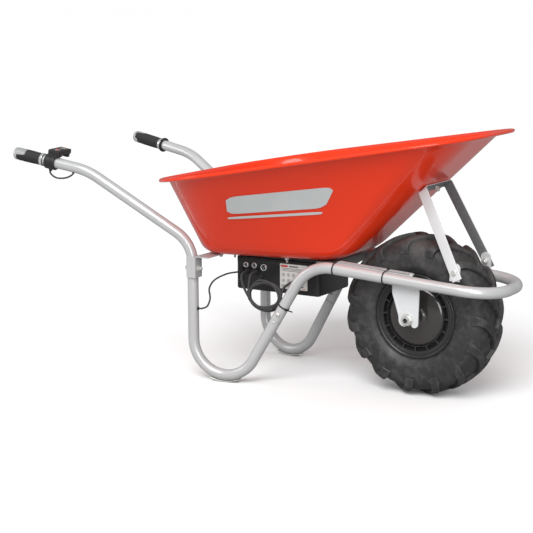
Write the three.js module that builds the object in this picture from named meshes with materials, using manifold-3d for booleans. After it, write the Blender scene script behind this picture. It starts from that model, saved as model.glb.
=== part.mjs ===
// Powered garden wheelbarrow: tube frame, pressed tray, driven front wheel, battery box and controls.
// Millimetres, +Z up, +X ahead towards the wheel, +Y to the left-hand side.
// Everything is laid out from the axle (x = 0, ground at z = 0) and moved at the end by WHEEL_AHEAD.
import * as THREE from "three";
import { mergeVertices } from "three/addons/utils/BufferGeometryUtils.js";
import Module from "manifold-3d";

const wasm = await Module();
wasm.setup();

// ---- driving dimensions ----
const GAP = 0.3;
const WHEEL_RADIUS = 200;
const TYRE_HALF_WIDTH = 67;
const RIM_RADIUS = 105;
const RIM_HALF_WIDTH = 54;
const HUB_RADIUS = 74.3;
const AXLE_RADIUS = 7;
const TUBE_RADIUS = 14;
const TUBE_WALL = 2;

const GRIP_END = { back: 1064, out: 262.2, up: 562.6 };
const HANDLE_BEND = { back: 849.6, out: 233.4, up: 525.4, radius: 180 };
const LEG_TOP = { back: 567.5, out: 174.5, up: 351, radius: 90 };
const LEG_TOE_IN = 0.152;
const FOOT_BEND_RADIUS = 88;
const LEG_RISE_ANGLE = 1.042;
const SEAM = { back: 342 };
const LOOP_REAR = { back: 257, radius: 105 };
const LOOP_FRONT = { ahead: 228, out: 104, up: 281, radius: 92 };

const TRAY_SHEET = 2;
const TRAY_FLOOR_UP = 321.6;
const TRAY_FLOOR = { rear: -574, front: -183, rearHalf: 160, frontHalf: 100, rearRound: 62, frontRound: 48 };
const TRAY_RIM = { rear: -644, front: 158, rearHalf: 374, frontHalf: 166, rearRound: 211, frontRound: 146 };
const RIM_AT_AXLE = 619;
const RIM_SLOPE = 0.167;
const RIM_LIP = 24;
const FRONT_LIP_SHARE = 1.38;
const FLOOR_FILLET = 26;
const FRONT_FILLET = 58;

const BOX = { rear: -498, front: -253, half: 80, low: 226, high: 306 };
const BOX_WALL = 3;
const STRUT = { topAhead: 23, topHalf: 74, footAhead: 131, footUp: 309, footHalf: 98 };
const STRUT_WIDTH = 25;
const STRUT_THICK = 4;

// ---- derived sizes ----
const TUBE_BORE = TUBE_RADIUS - TUBE_WALL;
const AXLE_UP = WHEEL_RADIUS;
const SHOE_THICK = 2.5;
const FOOT_CENTRE_UP = FOOT_BEND_RADIUS + TUBE_RADIUS + GAP + SHOE_THICK;

const point = (x, y, z) => new THREE.Vector3(x, y, z);

const gripEnd = point(-GRIP_END.back, -GRIP_END.out, GRIP_END.up);
const handleBend = point(-HANDLE_BEND.back, -HANDLE_BEND.out, HANDLE_BEND.up);
const handleAxis = handleBend.clone().sub(gripEnd).normalize();
const legTop = point(-LEG_TOP.back, -LEG_TOP.out, LEG_TOP.up);
const legAhead = point(Math.cos(LEG_TOE_IN), Math.sin(LEG_TOE_IN), 0);
const legSide = point(-Math.sin(LEG_TOE_IN), Math.cos(LEG_TOE_IN), 0);
const footCentre = legTop.clone().addScaledVector(legAhead, FOOT_BEND_RADIUS).setZ(FOOT_CENTRE_UP);
const riseAxis = legAhead
  .clone()
  .multiplyScalar(Math.cos(LEG_RISE_ANGLE))
  .add(point(0, 0, Math.sin(LEG_RISE_ANGLE)));
const riseStart = footCentre
  .clone()
  .addScaledVector(legAhead, FOOT_BEND_RADIUS * Math.sin(LEG_RISE_ANGLE))
  .add(point(0, 0, -FOOT_BEND_RADIUS * Math.cos(LEG_RISE_ANGLE)));
const seam = riseStart
  .clone()
  .addScaledVector(riseAxis, (-SEAM.back - riseStart.x) / riseAxis.x);
const legToRiseReach = (FOOT_BEND_RADIUS * (1 + Math.sin(LEG_RISE_ANGLE))) / Math.cos(LEG_RISE_ANGLE);
const footCorner = riseStart.clone().addScaledVector(riseAxis, -legToRiseReach);
const loopRear = seam.clone().addScaledVector(riseAxis, (-LOOP_REAR.back - seam.x) / riseAxis.x);
const loopFront = point(LOOP_FRONT.ahead, -LOOP_FRONT.out, LOOP_FRONT.up);
const loopAxis = loopFront.clone().sub(loopRear).normalize();

const rearmost = gripEnd.x - 12.6 * Math.hypot(handleAxis.y, handleAxis.z);
const foremost = LOOP_FRONT.ahead + TUBE_RADIUS;
const WHEEL_AHEAD = -(rearmost + foremost) / 2;

// ---- finishes ----
const FINISH = {
  tube: [0xb6b9ba, 0.42, 0.35],
  bright: [0xd9dbdb, 0.4, 0.35],
  tray: [0xdf2009, 0.22, 0],
  zinc: [0xc9c9c4, 0.35, 0.8],
  channel: [0x4a4c4e, 0.5, 0.3],
  plastic: [0x1d1e20, 0.45, 0],
  gloss: [0x141516, 0.25, 0],
  rubber: [0x2b2b2c, 0.8, 0],
  tyre: [0x333334, 0.85, 0],
  rim: [0x232425, 0.4, 0.1],
  label: [0xd8d8d6, 0.5, 0],
  cell: [0x27506e, 0.5, 0],
  alloy: [0xa8abad, 0.35, 0.85],
  copper: [0x9a5a2c, 0.4, 0.8],
  steel: [0x8e9093, 0.3, 0.9],
  red: [0xb3160c, 0.35, 0],
};

const model = new THREE.Group();
model.name = "power_wheelbarrow";

// Adds one named mesh to the model.
function addPart(name, geometry, finish) {
  const [color, roughness, metalness] = FINISH[finish];
  const material = new THREE.MeshStandardMaterial({ color, roughness, metalness });
  geometry.translate(WHEEL_AHEAD, 0, 0);
  const mesh = new THREE.Mesh(geometry, material);
  mesh.name = name;
  model.add(mesh);
}

// Adds a right-hand part and its mirror image on the left.
function addPair(name, geometry, finish) {
  addPart(`${name}_left`, mirrored(geometry), finish);
  addPart(`${name}_right`, geometry, finish);
}

// The same shape on the other side of the centre plane, with its faces turned back outwards.
function mirrored(geometry) {
  const copy = geometry.index ? geometry.toNonIndexed() : geometry.clone();
  const place = copy.getAttribute("position");
  const spot = point(0, 0, 0);
  const turned = [];
  for (let i = 0; i < place.count; i += 3) {
    for (const corner of [i, i + 2, i + 1]) {
      spot.fromBufferAttribute(place, corner);
      turned.push(spot.x, -spot.y, spot.z);
    }
  }
  const result = new THREE.BufferGeometry();
  result.setAttribute("position", new THREE.Float32BufferAttribute(turned, 3));
  return result;
}

// ---- solids ----
// A geometry as a solid for joining and cutting.
function solidOf(geometry) {
  const bare = geometry.clone();
  bare.deleteAttribute("normal");
  bare.deleteAttribute("uv");
  const merged = mergeVertices(bare, 1e-3);
  const mesh = new wasm.Mesh({
    numProp: 3,
    vertProperties: merged.getAttribute("position").array,
    triVerts: new Uint32Array(merged.index.array),
  });
  return new wasm.Manifold(mesh);
}

function geometryOf(solid) {
  const mesh = solid.getMesh();
  const result = new THREE.BufferGeometry();
  result.setAttribute("position", new THREE.BufferAttribute(new Float32Array(mesh.vertProperties), 3));
  result.setIndex(new THREE.BufferAttribute(new Uint32Array(mesh.triVerts), 1));
  return result;
}

function joined(...geometries) {
  return geometryOf(geometries.map(solidOf).reduce((whole, piece) => whole.add(piece)));
}

function cutFrom(geometry, ...tools) {
  return geometryOf(tools.map(solidOf).reduce((whole, tool) => whole.subtract(tool), solidOf(geometry)));
}

// Turns a shape made along +Z to run along a direction from a place.
function placed(geometry, origin, direction) {
  const turn = new THREE.Quaternion().setFromUnitVectors(point(0, 0, 1), direction.clone().normalize());
  geometry.applyQuaternion(turn);
  geometry.translate(origin.x, origin.y, origin.z);
  return geometry;
}

// Moves a shape made in a straight tube's own axes (x along it, y inwards, z up) onto the right tube.
function alongLoop(geometry) {
  const inward = point(0, 1, 0).addScaledVector(loopAxis, -loopAxis.y).normalize();
  const upward = point(0, 0, 0).crossVectors(loopAxis, inward);
  const start = loopRear.clone().addScaledVector(loopAxis, -loopRear.x / loopAxis.x);
  const frame = new THREE.Matrix4().makeBasis(loopAxis, inward, upward).setPosition(start);
  geometry.applyMatrix4(frame);
  return geometry;
}

function box(x0, x1, y0, y1, z0, z1) {
  const block = new THREE.BoxGeometry(x1 - x0, y1 - y0, z1 - z0);
  block.translate((x0 + x1) / 2, (y0 + y1) / 2, (z0 + z1) / 2);
  return block;
}

// A round bar from z = 0 up to its length.
function rod(radius, length, sides = 20) {
  const bar = new THREE.CylinderGeometry(radius, radius, length, sides);
  bar.rotateX(Math.PI / 2);
  bar.translate(0, 0, length / 2);
  return bar;
}

// A turned shape from [radius, height] pairs, standing on z. The pairs may run either way round.
function turned(pairs, sides = 32) {
  const profile = pairs.map(([radius, height]) => new THREE.Vector2(radius, height));
  if (THREE.ShapeUtils.area(profile) < 0) profile.reverse();
  const shape = new THREE.LatheGeometry(profile, sides);
  shape.rotateX(Math.PI / 2);
  return shape;
}

// A ring of rectangular section between two heights.
function ring(inner, outer, low, high, sides = 32) {
  return turned([[inner, low], [outer, low], [outer, high], [inner, high], [inner, low]], sides);
}

// A flat plate with rounded corners, drawn in x and y and raised along z.
function roundedPlate(width, depth, thick, radius, segments = 4) {
  const shape = new THREE.Shape();
  const halfX = width / 2;
  const halfY = depth / 2;
  shape.moveTo(-halfX + radius, -halfY);
  shape.lineTo(halfX - radius, -halfY);
  shape.absarc(halfX - radius, -halfY + radius, radius, -Math.PI / 2, 0, false);
  shape.lineTo(halfX, halfY - radius);
  shape.absarc(halfX - radius, halfY - radius, radius, 0, Math.PI / 2, false);
  shape.lineTo(-halfX + radius, halfY);
  shape.absarc(-halfX + radius, halfY - radius, radius, Math.PI / 2, Math.PI, false);
  shape.lineTo(-halfX, -halfY + radius);
  shape.absarc(-halfX + radius, -halfY + radius, radius, Math.PI, Math.PI * 1.5, false);
  return new THREE.ExtrudeGeometry(shape, { depth: thick, bevelEnabled: false, curveSegments: segments });
}

// ---- tubes ----
// A line through corners, each rounded to its own radius, with stations only where it bends.
class BentLine extends THREE.Curve {
  constructor(corners, radii, bendSteps) {
    super();
    this.stations = [];
    const last = corners.length - 1;
    for (let i = 0; i <= last; i += 1) {
      const before = corners[Math.max(i - 1, 0)];
      const after = corners[Math.min(i + 1, last)];
      if (i === 0 || i === last) {
        this.stations.push({ place: corners[i], heading: after.clone().sub(before).normalize() });
      } else {
        this.addBend(before, corners[i], after, radii[i - 1], bendSteps);
      }
    }
  }

  addBend(before, corner, after, radius, bendSteps) {
    const inbound = corner.clone().sub(before).normalize();
    const outbound = after.clone().sub(corner).normalize();
    const angle = inbound.angleTo(outbound);
    const inward = outbound.clone().addScaledVector(inbound, -inbound.dot(outbound)).normalize();
    const start = corner.clone().addScaledVector(inbound, -radius * Math.tan(angle / 2));
    const steps = Math.max(2, Math.ceil((bendSteps * angle) / (Math.PI / 2)));
    for (let step = 0; step <= steps; step += 1) {
      const swept = (angle * step) / steps;
      const place = start
        .clone()
        .addScaledVector(inward, radius * (1 - Math.cos(swept)))
        .addScaledVector(inbound, radius * Math.sin(swept));
      const heading = inbound
        .clone()
        .multiplyScalar(Math.cos(swept))
        .addScaledVector(inward, Math.sin(swept));
      this.stations.push({ place, heading });
    }
  }

  get steps() {
    return this.stations.length - 1;
  }

  getPointAt(along) {
    return this.stations[Math.round(along * this.steps)].place.clone();
  }

  getTangentAt(along) {
    return this.stations[Math.round(along * this.steps)].heading.clone();
  }

  getPoint(along) {
    return this.getPointAt(along);
  }
}

// A hollow tube along a line.
function tubeAlong(line, outer, bore, segments = 7) {
  const section = new THREE.Shape();
  section.absarc(0, 0, outer, 0, Math.PI * 2, false);
  const hole = new THREE.Path();
  hole.absarc(0, 0, bore, 0, Math.PI * 2, true);
  section.holes.push(hole);
  return new THREE.ExtrudeGeometry(section, {
    steps: line.steps,
    extrudePath: line,
    curveSegments: segments,
    bevelEnabled: false,
  });
}

// A solid round cable through hand-chosen places.
function cableThrough(places, diameter, steps) {
  const section = new THREE.Shape();
  section.absarc(0, 0, diameter / 2, 0, Math.PI * 2, false);
  const route = new THREE.CatmullRomCurve3(places, false, "centripetal");
  return new THREE.ExtrudeGeometry(section, {
    steps,
    extrudePath: route,
    curveSegments: 4,
    bevelEnabled: false,
  });
}

// ---- fasteners ----
// A bolt with its nut: the head sits below z = 0 and the nut starts at the grip length.
function boltAndNut(shank, grip, across, headHigh = 5, nutHigh = 6, tail = 4) {
  const head = new THREE.CylinderGeometry(across / 2, across / 2, headHigh, 6);
  head.rotateX(Math.PI / 2);
  head.translate(0, 0, -headHigh / 2);
  const nut = new THREE.CylinderGeometry(across / 2, across / 2, nutHigh, 6);
  nut.rotateX(Math.PI / 2);
  nut.translate(0, 0, grip + nutHigh / 2);
  const bar = rod(shank, grip + nutHigh + tail + 1, 12);
  bar.translate(0, 0, -1);
  return joined(head, nut, bar);
}

// A round-headed bolt with its nut.
function domedBolt(shank, grip, headRadius) {
  const head = turned([[0, -4], [headRadius * 0.6, -3.4], [headRadius, -1], [headRadius, 0], [0, 0]], 16);
  const nut = new THREE.CylinderGeometry(headRadius, headRadius, 5, 6);
  nut.rotateX(Math.PI / 2);
  nut.translate(0, 0, grip + 2.5);
  const bar = rod(shank, grip + 8, 12);
  bar.translate(0, 0, -1);
  return joined(head, nut, bar);
}

// ---- frame ----
const SADDLE = { low: 265, high: 318, sheet: 3, arm: 8, slack: 0.8 };
const SADDLE_BOLT_UP = 288;
const SADDLE_BOLT_RADIUS = 4;
const JOINT_BOLT_ABOVE = 20;
const JOINT_BOLT_RADIUS = 3;
const SPIGOT_FIT = 0.975;
const SPIGOT = { length: 45, radius: TUBE_BORE * SPIGOT_FIT, bore: TUBE_BORE * SPIGOT_FIT - TUBE_WALL };
const HANDLE_CABLE_DOWN = 178;
const LEG_CABLE_UP = 184;

const handleAt = (distance) => gripEnd.clone().addScaledVector(handleAxis, distance);
const jointBoltPlace = seam.clone().addScaledVector(riseAxis, JOINT_BOLT_ABOVE);
const HOLE_SLACK = 0.3;

// The grip, leg and foot in one bent tube, ending in a spigot that enters the front loop.
function handleTube(side) {
  const line = new BentLine(
    [handleAt(5), handleBend, legTop, footCorner, seam],
    [HANDLE_BEND.radius, LEG_TOP.radius, FOOT_BEND_RADIUS],
    6,
  );
  const neck = [
    [SPIGOT.bore, -6],
    [TUBE_BORE + 1, -6],
    [TUBE_BORE + 1, 0],
    [SPIGOT.radius, 0],
    [SPIGOT.radius, SPIGOT.length],
    [SPIGOT.bore, SPIGOT.length],
    [SPIGOT.bore, -6],
  ];
  const whole = joined(tubeAlong(line, TUBE_RADIUS, TUBE_BORE), placed(turned(neck, 16), seam, riseAxis));
  const saddleHole = rod(SADDLE_BOLT_RADIUS + HOLE_SLACK, 40, 12);
  placed(saddleHole, point(legTop.x - 20, legTop.y, SADDLE_BOLT_UP), point(1, 0, 0));
  const jointHole = rod(JOINT_BOLT_RADIUS + HOLE_SLACK, 40, 12);
  placed(jointHole, jointBoltPlace.clone().addScaledVector(legSide, -20), legSide);
  const tools = [saddleHole, jointHole];
  if (side === "right") {
    tools.push(placed(rod(3.4, 20, 12), handleAt(HANDLE_CABLE_DOWN), point(0, 0, -1)));
    tools.push(placed(rod(3.4, 20, 12), point(legTop.x, legTop.y, LEG_CABLE_UP), point(1, 0, 0)));
  }
  return cutFrom(whole, ...tools);
}

// The one-piece loop that carries the wheel and runs round in front of it.
function frontLoop() {
  const other = (place) => point(place.x, -place.y, place.z);
  const start = seam.clone().addScaledVector(riseAxis, GAP);
  const line = new BentLine(
    [start, loopRear, loopFront, other(loopFront), other(loopRear), other(start)],
    [LOOP_REAR.radius, LOOP_FRONT.radius, LOOP_FRONT.radius, LOOP_REAR.radius],
    6,
  );
  const hole = rod(JOINT_BOLT_RADIUS + HOLE_SLACK, 40, 12);
  placed(hole, jointBoltPlace.clone().addScaledVector(legSide, -20), legSide);
  return cutFrom(tubeAlong(line, TUBE_RADIUS, TUBE_BORE), hole, mirrored(hole));
}

// A wear strip curved under each foot bend, faceted so that its middle lies flat on the ground.
function footShoe() {
  const facets = 7;
  const reach = 0.38;
  const inner = FOOT_BEND_RADIUS + TUBE_RADIUS + GAP;
  const lift = 1 / Math.cos(reach / facets);
  const shape = new THREE.Shape();
  for (let i = 0; i <= facets; i += 1) {
    const angle = -Math.PI / 2 - reach + (2 * reach * i) / facets;
    const radius = (inner + SHOE_THICK) * lift;
    shape[i === 0 ? "moveTo" : "lineTo"](radius * Math.cos(angle), radius * Math.sin(angle));
  }
  for (let i = facets; i >= 0; i -= 1) {
    const angle = -Math.PI / 2 - reach + (2 * reach * i) / facets;
    shape.lineTo(inner * lift * Math.cos(angle), inner * lift * Math.sin(angle));
  }
  const strip = new THREE.ExtrudeGeometry(shape, { depth: 22, bevelEnabled: false });
  strip.translate(0, 0, -11);
  strip.rotateX(Math.PI / 2);
  strip.rotateZ(LEG_TOE_IN);
  strip.translate(footCentre.x, footCentre.y, FOOT_CENTRE_UP);
  return strip;
}

// A folded channel that hugs the leg from the front, open to the rear.
function saddle() {
  const inside = TUBE_RADIUS + SADDLE.slack;
  const outside = inside + SADDLE.sheet;
  const shape = new THREE.Shape();
  shape.moveTo(-SADDLE.arm, -outside);
  shape.lineTo(outside, -outside);
  shape.lineTo(outside, outside);
  shape.lineTo(-SADDLE.arm, outside);
  shape.lineTo(-SADDLE.arm, inside);
  shape.lineTo(inside, inside);
  shape.lineTo(inside, -inside);
  shape.lineTo(-SADDLE.arm, -inside);
  const channel = new THREE.ExtrudeGeometry(shape, { depth: SADDLE.high - SADDLE.low, bevelEnabled: false });
  channel.translate(legTop.x, legTop.y, SADDLE.low);
  const hole = rod(SADDLE_BOLT_RADIUS + HOLE_SLACK, 40, 12);
  placed(hole, point(legTop.x, legTop.y, SADDLE_BOLT_UP), point(1, 0, 0));
  return cutFrom(channel, hole);
}

const STRIP = { rear: -552, front: -512, half: 190, low: SADDLE.high + GAP, thick: 3 };
const TRAY_BOLT = { back: -528, out: 104, radius: 4 };

// The flat strip that ties both saddles and carries the rear of the tray.
function rearStrip() {
  const strip = roundedPlate(STRIP.front - STRIP.rear, 2 * STRIP.half, STRIP.thick, 6, 3);
  strip.translate((STRIP.rear + STRIP.front) / 2, 0, STRIP.low);
  const hole = rod(TRAY_BOLT.radius + HOLE_SLACK, 20, 12);
  hole.translate(TRAY_BOLT.back, -TRAY_BOLT.out, STRIP.low - 8);
  return cutFrom(strip, hole, mirrored(hole));
}

const CHANNEL = { rear: -250, front: -212, low: 299, sheet: 3, half: 101.5 };

// The inverted channel between the loop's two sides, under the front of the tray floor.
function frontChannel() {
  const high = TRAY_FLOOR_UP - GAP;
  const outer = box(CHANNEL.rear, CHANNEL.front, -CHANNEL.half, CHANNEL.half, CHANNEL.low, high);
  const inner = box(
    CHANNEL.rear + CHANNEL.sheet,
    CHANNEL.front - CHANNEL.sheet,
    -CHANNEL.half - 5,
    CHANNEL.half + 5,
    CHANNEL.low - 5,
    high - CHANNEL.sheet,
  );
  return cutFrom(outer, inner);
}

const RAIL = { rear: -190, front: 14, thick: 4, up: 16, down: -7, flange: 16 };

// An angle bar along the inner side of the loop tube, round at its front end.
function forkRail() {
  const near = TUBE_RADIUS + GAP;
  const web = box(RAIL.rear, RAIL.front, near, near + RAIL.thick, RAIL.down, RAIL.up);
  const flange = roundedPlate(RAIL.front - RAIL.rear, RAIL.flange, RAIL.thick, 6, 4);
  flange.translate((RAIL.rear + RAIL.front) / 2, near + RAIL.flange / 2, RAIL.up - RAIL.thick);
  return alongLoop(joined(web, flange));
}

const FORK = { rear: -42, front: 30, low: 181, thick: 5, slotHalf: AXLE_RADIUS + GAP };
const forkInner = loopRear.y + (-loopRear.x / loopAxis.x) * loopAxis.y + TUBE_RADIUS + RAIL.thick + 2.2;

// A plate hung from the rail with a slot open downwards for the axle.
function forkPlate() {
  const top = 300;
  const shape = new THREE.Shape();
  shape.moveTo(FORK.rear, top);
  shape.lineTo(FORK.rear, 262);
  shape.lineTo(FORK.rear + 15, 214);
  shape.lineTo(FORK.rear + 18, 198);
  shape.absarc(-10, 196, 14, Math.PI, Math.PI * 1.62, false);
  shape.lineTo(-FORK.slotHalf, AXLE_UP);
  shape.absarc(0, AXLE_UP, FORK.slotHalf, Math.PI, 0, true);
  shape.lineTo(FORK.slotHalf, 186);
  shape.absarc(18, 191, 10, -Math.PI * 0.75, 0, false);
  shape.lineTo(FORK.front, 262);
  shape.lineTo(FORK.front, top);
  const plate = new THREE.ExtrudeGeometry(shape, { depth: FORK.thick, bevelEnabled: false, curveSegments: 8 });
  plate.rotateX(Math.PI / 2);
  plate.translate(0, forkInner + FORK.thick, 0);
  return plate;
}

// ---- tray ----
const ROUND_STEPS = 8;

// A four-sided outline with rounded corners, listed from the rear left round to the front left.
function outline(rear, front, rearHalf, frontHalf, rearRound, frontRound, heightAt) {
  const corners = [
    [rear, rearHalf, rearRound],
    [rear, -rearHalf, rearRound],
    [front, -frontHalf, frontRound],
    [front, frontHalf, frontRound],
  ];
  const places = [];
  for (let i = 0; i < 4; i += 1) {
    const [x, y, radius] = corners[i];
    const before = point(...corners[(i + 3) % 4].slice(0, 2), 0);
    const after = point(...corners[(i + 1) % 4].slice(0, 2), 0);
    const bend = new BentLine([before, point(x, y, 0), after], [radius], 0);
    bend.stations = [];
    bend.addBendExactly(before, point(x, y, 0), after, radius, ROUND_STEPS);
    places.push(...bend.stations.map((station) => station.place));
  }
  for (const place of places) place.z = heightAt(place.x);
  return places;
}

// One bend with a fixed number of steps, whatever its angle.
BentLine.prototype.addBendExactly = function addBendExactly(before, corner, after, radius, steps) {
  const angle = corner.clone().sub(before).angleTo(after.clone().sub(corner));
  this.addBend(before, corner, after, radius, (steps - 0.5) / (angle / (Math.PI / 2)));
};

// The tray's floor outline, drawn in by a distance at the sides and another in front, and raised.
function floorOutline(inset, frontInset, raise) {
  const f = TRAY_FLOOR;
  const tighten = inset * 0.6;
  return outline(
    f.rear + inset,
    f.front - frontInset,
    f.rearHalf - inset,
    f.frontHalf - inset,
    f.rearRound - tighten,
    f.frontRound - tighten,
    () => TRAY_FLOOR_UP + raise,
  );
}

// The tray's rim outline, moved outwards by a distance and raised by a height.
function rimOutline(outset, raise) {
  const r = TRAY_RIM;
  return outline(
    r.rear - outset,
    r.front + outset * FRONT_LIP_SHARE,
    r.rearHalf + outset,
    r.frontHalf + outset,
    r.rearRound + outset,
    r.frontRound + outset,
    (x) => RIM_AT_AXLE + RIM_SLOPE * x + raise,
  );
}

const between = (from, to, share) => from.map((place, i) => place.clone().lerp(to[i], share));

// The rows of one skin of the tray, from the floor's flat middle up to the rim.
function traySkin(inset, raise) {
  const flat = floorOutline(inset + FLOOR_FILLET, inset + FRONT_FILLET, raise);
  const knee = floorOutline(inset, inset, raise);
  const top = rimOutline(-inset, 0);
  const wallStart = between(knee, top, 0.13);
  const rows = [];
  for (const s of [0, 0.25, 0.5, 0.75, 1]) {
    rows.push(between(between(flat, knee, s), between(knee, wallStart, s), s));
  }
  for (const share of [0.4, 0.7]) rows.push(between(knee, top, share));
  return rows;
}

// The rolled edge: a flat lip that ends in a round bead.
function rimRoll() {
  const bead = 4.5;
  const reach = RIM_LIP - bead;
  const rows = [rimOutline(-0.2, -3.5), rimOutline(reach - bead, -3)];
  for (let i = 1; i < 8; i += 1) {
    const angle = -Math.PI * 0.78 + (Math.PI * 1.56 * i) / 8;
    rows.push(rimOutline(reach + bead * Math.cos(angle), -1 + bead * Math.sin(angle)));
  }
  rows.push(rimOutline(reach - bead, 0.5), rimOutline(-TRAY_SHEET * 1.4, 0));
  return rows;
}

// Joins rows of places into one closed skin, capped at both ends by their middle places.
function skinned(rows) {
  const count = rows[0].length;
  const spots = [];
  for (const row of rows) for (const place of row) spots.push(place.x, place.y, place.z);
  const middle = (row) => {
    const sum = row.reduce((total, place) => total.add(place), point(0, 0, 0));
    return sum.multiplyScalar(1 / count);
  };
  const low = middle(rows[0]);
  const high = middle(rows[rows.length - 1]);
  spots.push(low.x, low.y, low.z, high.x, high.y, high.z);
  const lowIndex = rows.length * count;
  const faces = [];
  for (let i = 0; i < count; i += 1) {
    const next = (i + 1) % count;
    faces.push(lowIndex, next, i);
    faces.push(lowIndex + 1, (rows.length - 1) * count + i, (rows.length - 1) * count + next);
    for (let r = 0; r + 1 < rows.length; r += 1) {
      const [a, b, c, d] = [r * count + i, r * count + next, (r + 1) * count + next, (r + 1) * count + i];
      faces.push(a, b, c, a, c, d);
    }
  }
  const skin = new THREE.BufferGeometry();
  skin.setAttribute("position", new THREE.Float32BufferAttribute(spots, 3));
  skin.setIndex(faces);
  return skin;
}

const wallAhead = TRAY_RIM.front - TRAY_FLOOR.front;
const wallRise = RIM_AT_AXLE + RIM_SLOPE * TRAY_RIM.front - TRAY_FLOOR_UP;
const frontWallUp = (x) => TRAY_FLOOR_UP + (wallRise / wallAhead) * (x - TRAY_FLOOR.front);
const frontWallOut = point(wallRise, 0, -wallAhead).normalize();
const strutBoltPlace = point(STRUT.topAhead, 0, frontWallUp(STRUT.topAhead));
const strutTop = strutBoltPlace.clone().addScaledVector(frontWallOut, STRUT_THICK / 2 + 3 * GAP);

// The pressed steel tray.
function tray() {
  const outer = traySkin(0, 0);
  const inner = traySkin(TRAY_SHEET * 1.4, TRAY_SHEET);
  const shell = skinned([...outer, ...rimRoll(), ...inner.reverse()]);
  const floorHole = rod(TRAY_BOLT.radius + HOLE_SLACK, 20, 12);
  floorHole.translate(TRAY_BOLT.back, -TRAY_BOLT.out, TRAY_FLOOR_UP - 8);
  const wallHole = rod(TRAY_BOLT.radius + HOLE_SLACK, 30, 12);
  placed(wallHole, strutBoltPlace.clone().addScaledVector(frontWallOut, -15), frontWallOut);
  return cutFrom(shell, floorHole, mirrored(floorHole), wallHole);
}

// ---- strut ----
const strutReach = point(STRUT.footAhead, 0, STRUT.footUp).sub(strutTop);
const strutLean = strutReach.clone().normalize();
const strutLength = strutReach.length();
const STRUT_BOLT_FROM_FOOT = 20;
const strutFootBolt = strutTop.clone().addScaledVector(strutLean, strutLength - STRUT_BOLT_FROM_FOOT);
const strutLegTop = STRUT.topHalf - STRUT_THICK / 2;
const strutSplay = Math.atan2(STRUT.footHalf - strutLegTop, strutLength);
const strutLegOut = STRUT.footHalf - STRUT_BOLT_FROM_FOOT * Math.tan(strutSplay);
const strutFoot = point(strutFootBolt.x, -strutLegOut, strutFootBolt.z);
const strutDown = point(strutLean.x, -Math.tan(strutSplay), strutLean.z).normalize();
const strutAcross = point(-strutLean.z, 0, strutLean.x);
const strutOut = point(0, 0, 0).crossVectors(strutDown, strutAcross);

// One flat bar bent into an upside-down U that props the tray's front wall.
function trayStrut() {
  const crown = box(-STRUT_WIDTH / 2, STRUT_WIDTH / 2, -STRUT.topHalf, STRUT.topHalf, 0, STRUT_THICK);
  crown.translate(0, 0, -STRUT_THICK / 2);
  placed(crown, strutTop, frontWallOut);
  const leg = box(-STRUT_WIDTH / 2, STRUT_WIDTH / 2, -STRUT_THICK / 2, STRUT_THICK / 2, -5, strutLength);
  const frame = new THREE.Matrix4().makeBasis(strutAcross, strutOut, strutDown);
  leg.applyMatrix4(frame.setPosition(strutTop.x, -strutLegTop, strutTop.z));
  const above = box(-40, 40, -100, 100, -30, -STRUT_THICK / 2);
  placed(above, strutTop, frontWallOut);
  const footHole = placed(rod(4.3, 20, 12), strutFoot.clone().addScaledVector(strutOut, -10), strutOut);
  const crownHole = placed(rod(4.3, 40, 12), strutBoltPlace.clone().addScaledVector(frontWallOut, -10), frontWallOut);
  return cutFrom(joined(crown, leg, mirrored(leg)), above, footHole, mirrored(footHole), crownHole);
}

const TAB = { half: 13, thick: 4, drop: 21, rise: 9 };

// A plate that rises inside the loop tube and leans with the strut's leg, behind its foot.
function strutTab() {
  const shape = new THREE.Shape();
  shape.moveTo(-TAB.half, -TAB.drop);
  shape.lineTo(TAB.half, -TAB.drop);
  shape.lineTo(TAB.half, TAB.rise);
  shape.absarc(0, TAB.rise, TAB.half, 0, Math.PI, false);
  const hole = new THREE.Path();
  hole.absarc(0, 0, 4.6, 0, Math.PI * 2, true);
  shape.holes.push(hole);
  const plate = new THREE.ExtrudeGeometry(shape, { depth: TAB.thick, bevelEnabled: false, curveSegments: 6 });
  plate.rotateX(Math.PI / 2);
  plate.translate(0, STRUT_THICK / 2 + GAP + TAB.thick, 0);
  const inward = strutOut.clone().negate();
  const ahead = point(1, 0, 0).addScaledVector(inward, -inward.x).normalize();
  const upward = point(0, 0, 0).crossVectors(ahead, inward);
  plate.applyMatrix4(new THREE.Matrix4().makeBasis(ahead, inward, upward).setPosition(strutFoot));
  return plate;
}

// ---- battery box ----
// The open-topped moulded box under the tray.
function boxShell() {
  const length = BOX.front - BOX.rear;
  const outer = roundedPlate(length, 2 * BOX.half, BOX.high - BOX.low, 8, 4);
  outer.translate((BOX.rear + BOX.front) / 2, 0, BOX.low);
  const inner = roundedPlate(length - 2 * BOX_WALL, 2 * (BOX.half - BOX_WALL), BOX.high - BOX.low, 6, 4);
  inner.translate((BOX.rear + BOX.front) / 2, 0, BOX.low + BOX_WALL);
  return cutFrom(outer, inner);
}

// The lid, hollow beneath, that hangs the box from the tray floor.
function boxLid() {
  const low = BOX.high + GAP;
  const high = TRAY_FLOOR_UP - GAP;
  const length = BOX.front - BOX.rear;
  const middle = (BOX.rear + BOX.front) / 2;
  const flange = roundedPlate(length, 2 * BOX.half, 4, 8, 4);
  flange.translate(middle, 0, low);
  const crown = roundedPlate(length - 16, 2 * BOX.half - 16, high - low, 6, 4);
  crown.translate(middle, 0, low);
  const hollow = roundedPlate(length - 24, 2 * BOX.half - 24, high - low - 3, 5, 4);
  hollow.translate(middle, 0, low - 0.01);
  return cutFrom(joined(flange, crown), hollow);
}

const faceOut = point(0, -1, 0);
const onBoxFace = (x, z) => point(x, -BOX.half - GAP, z);

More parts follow.
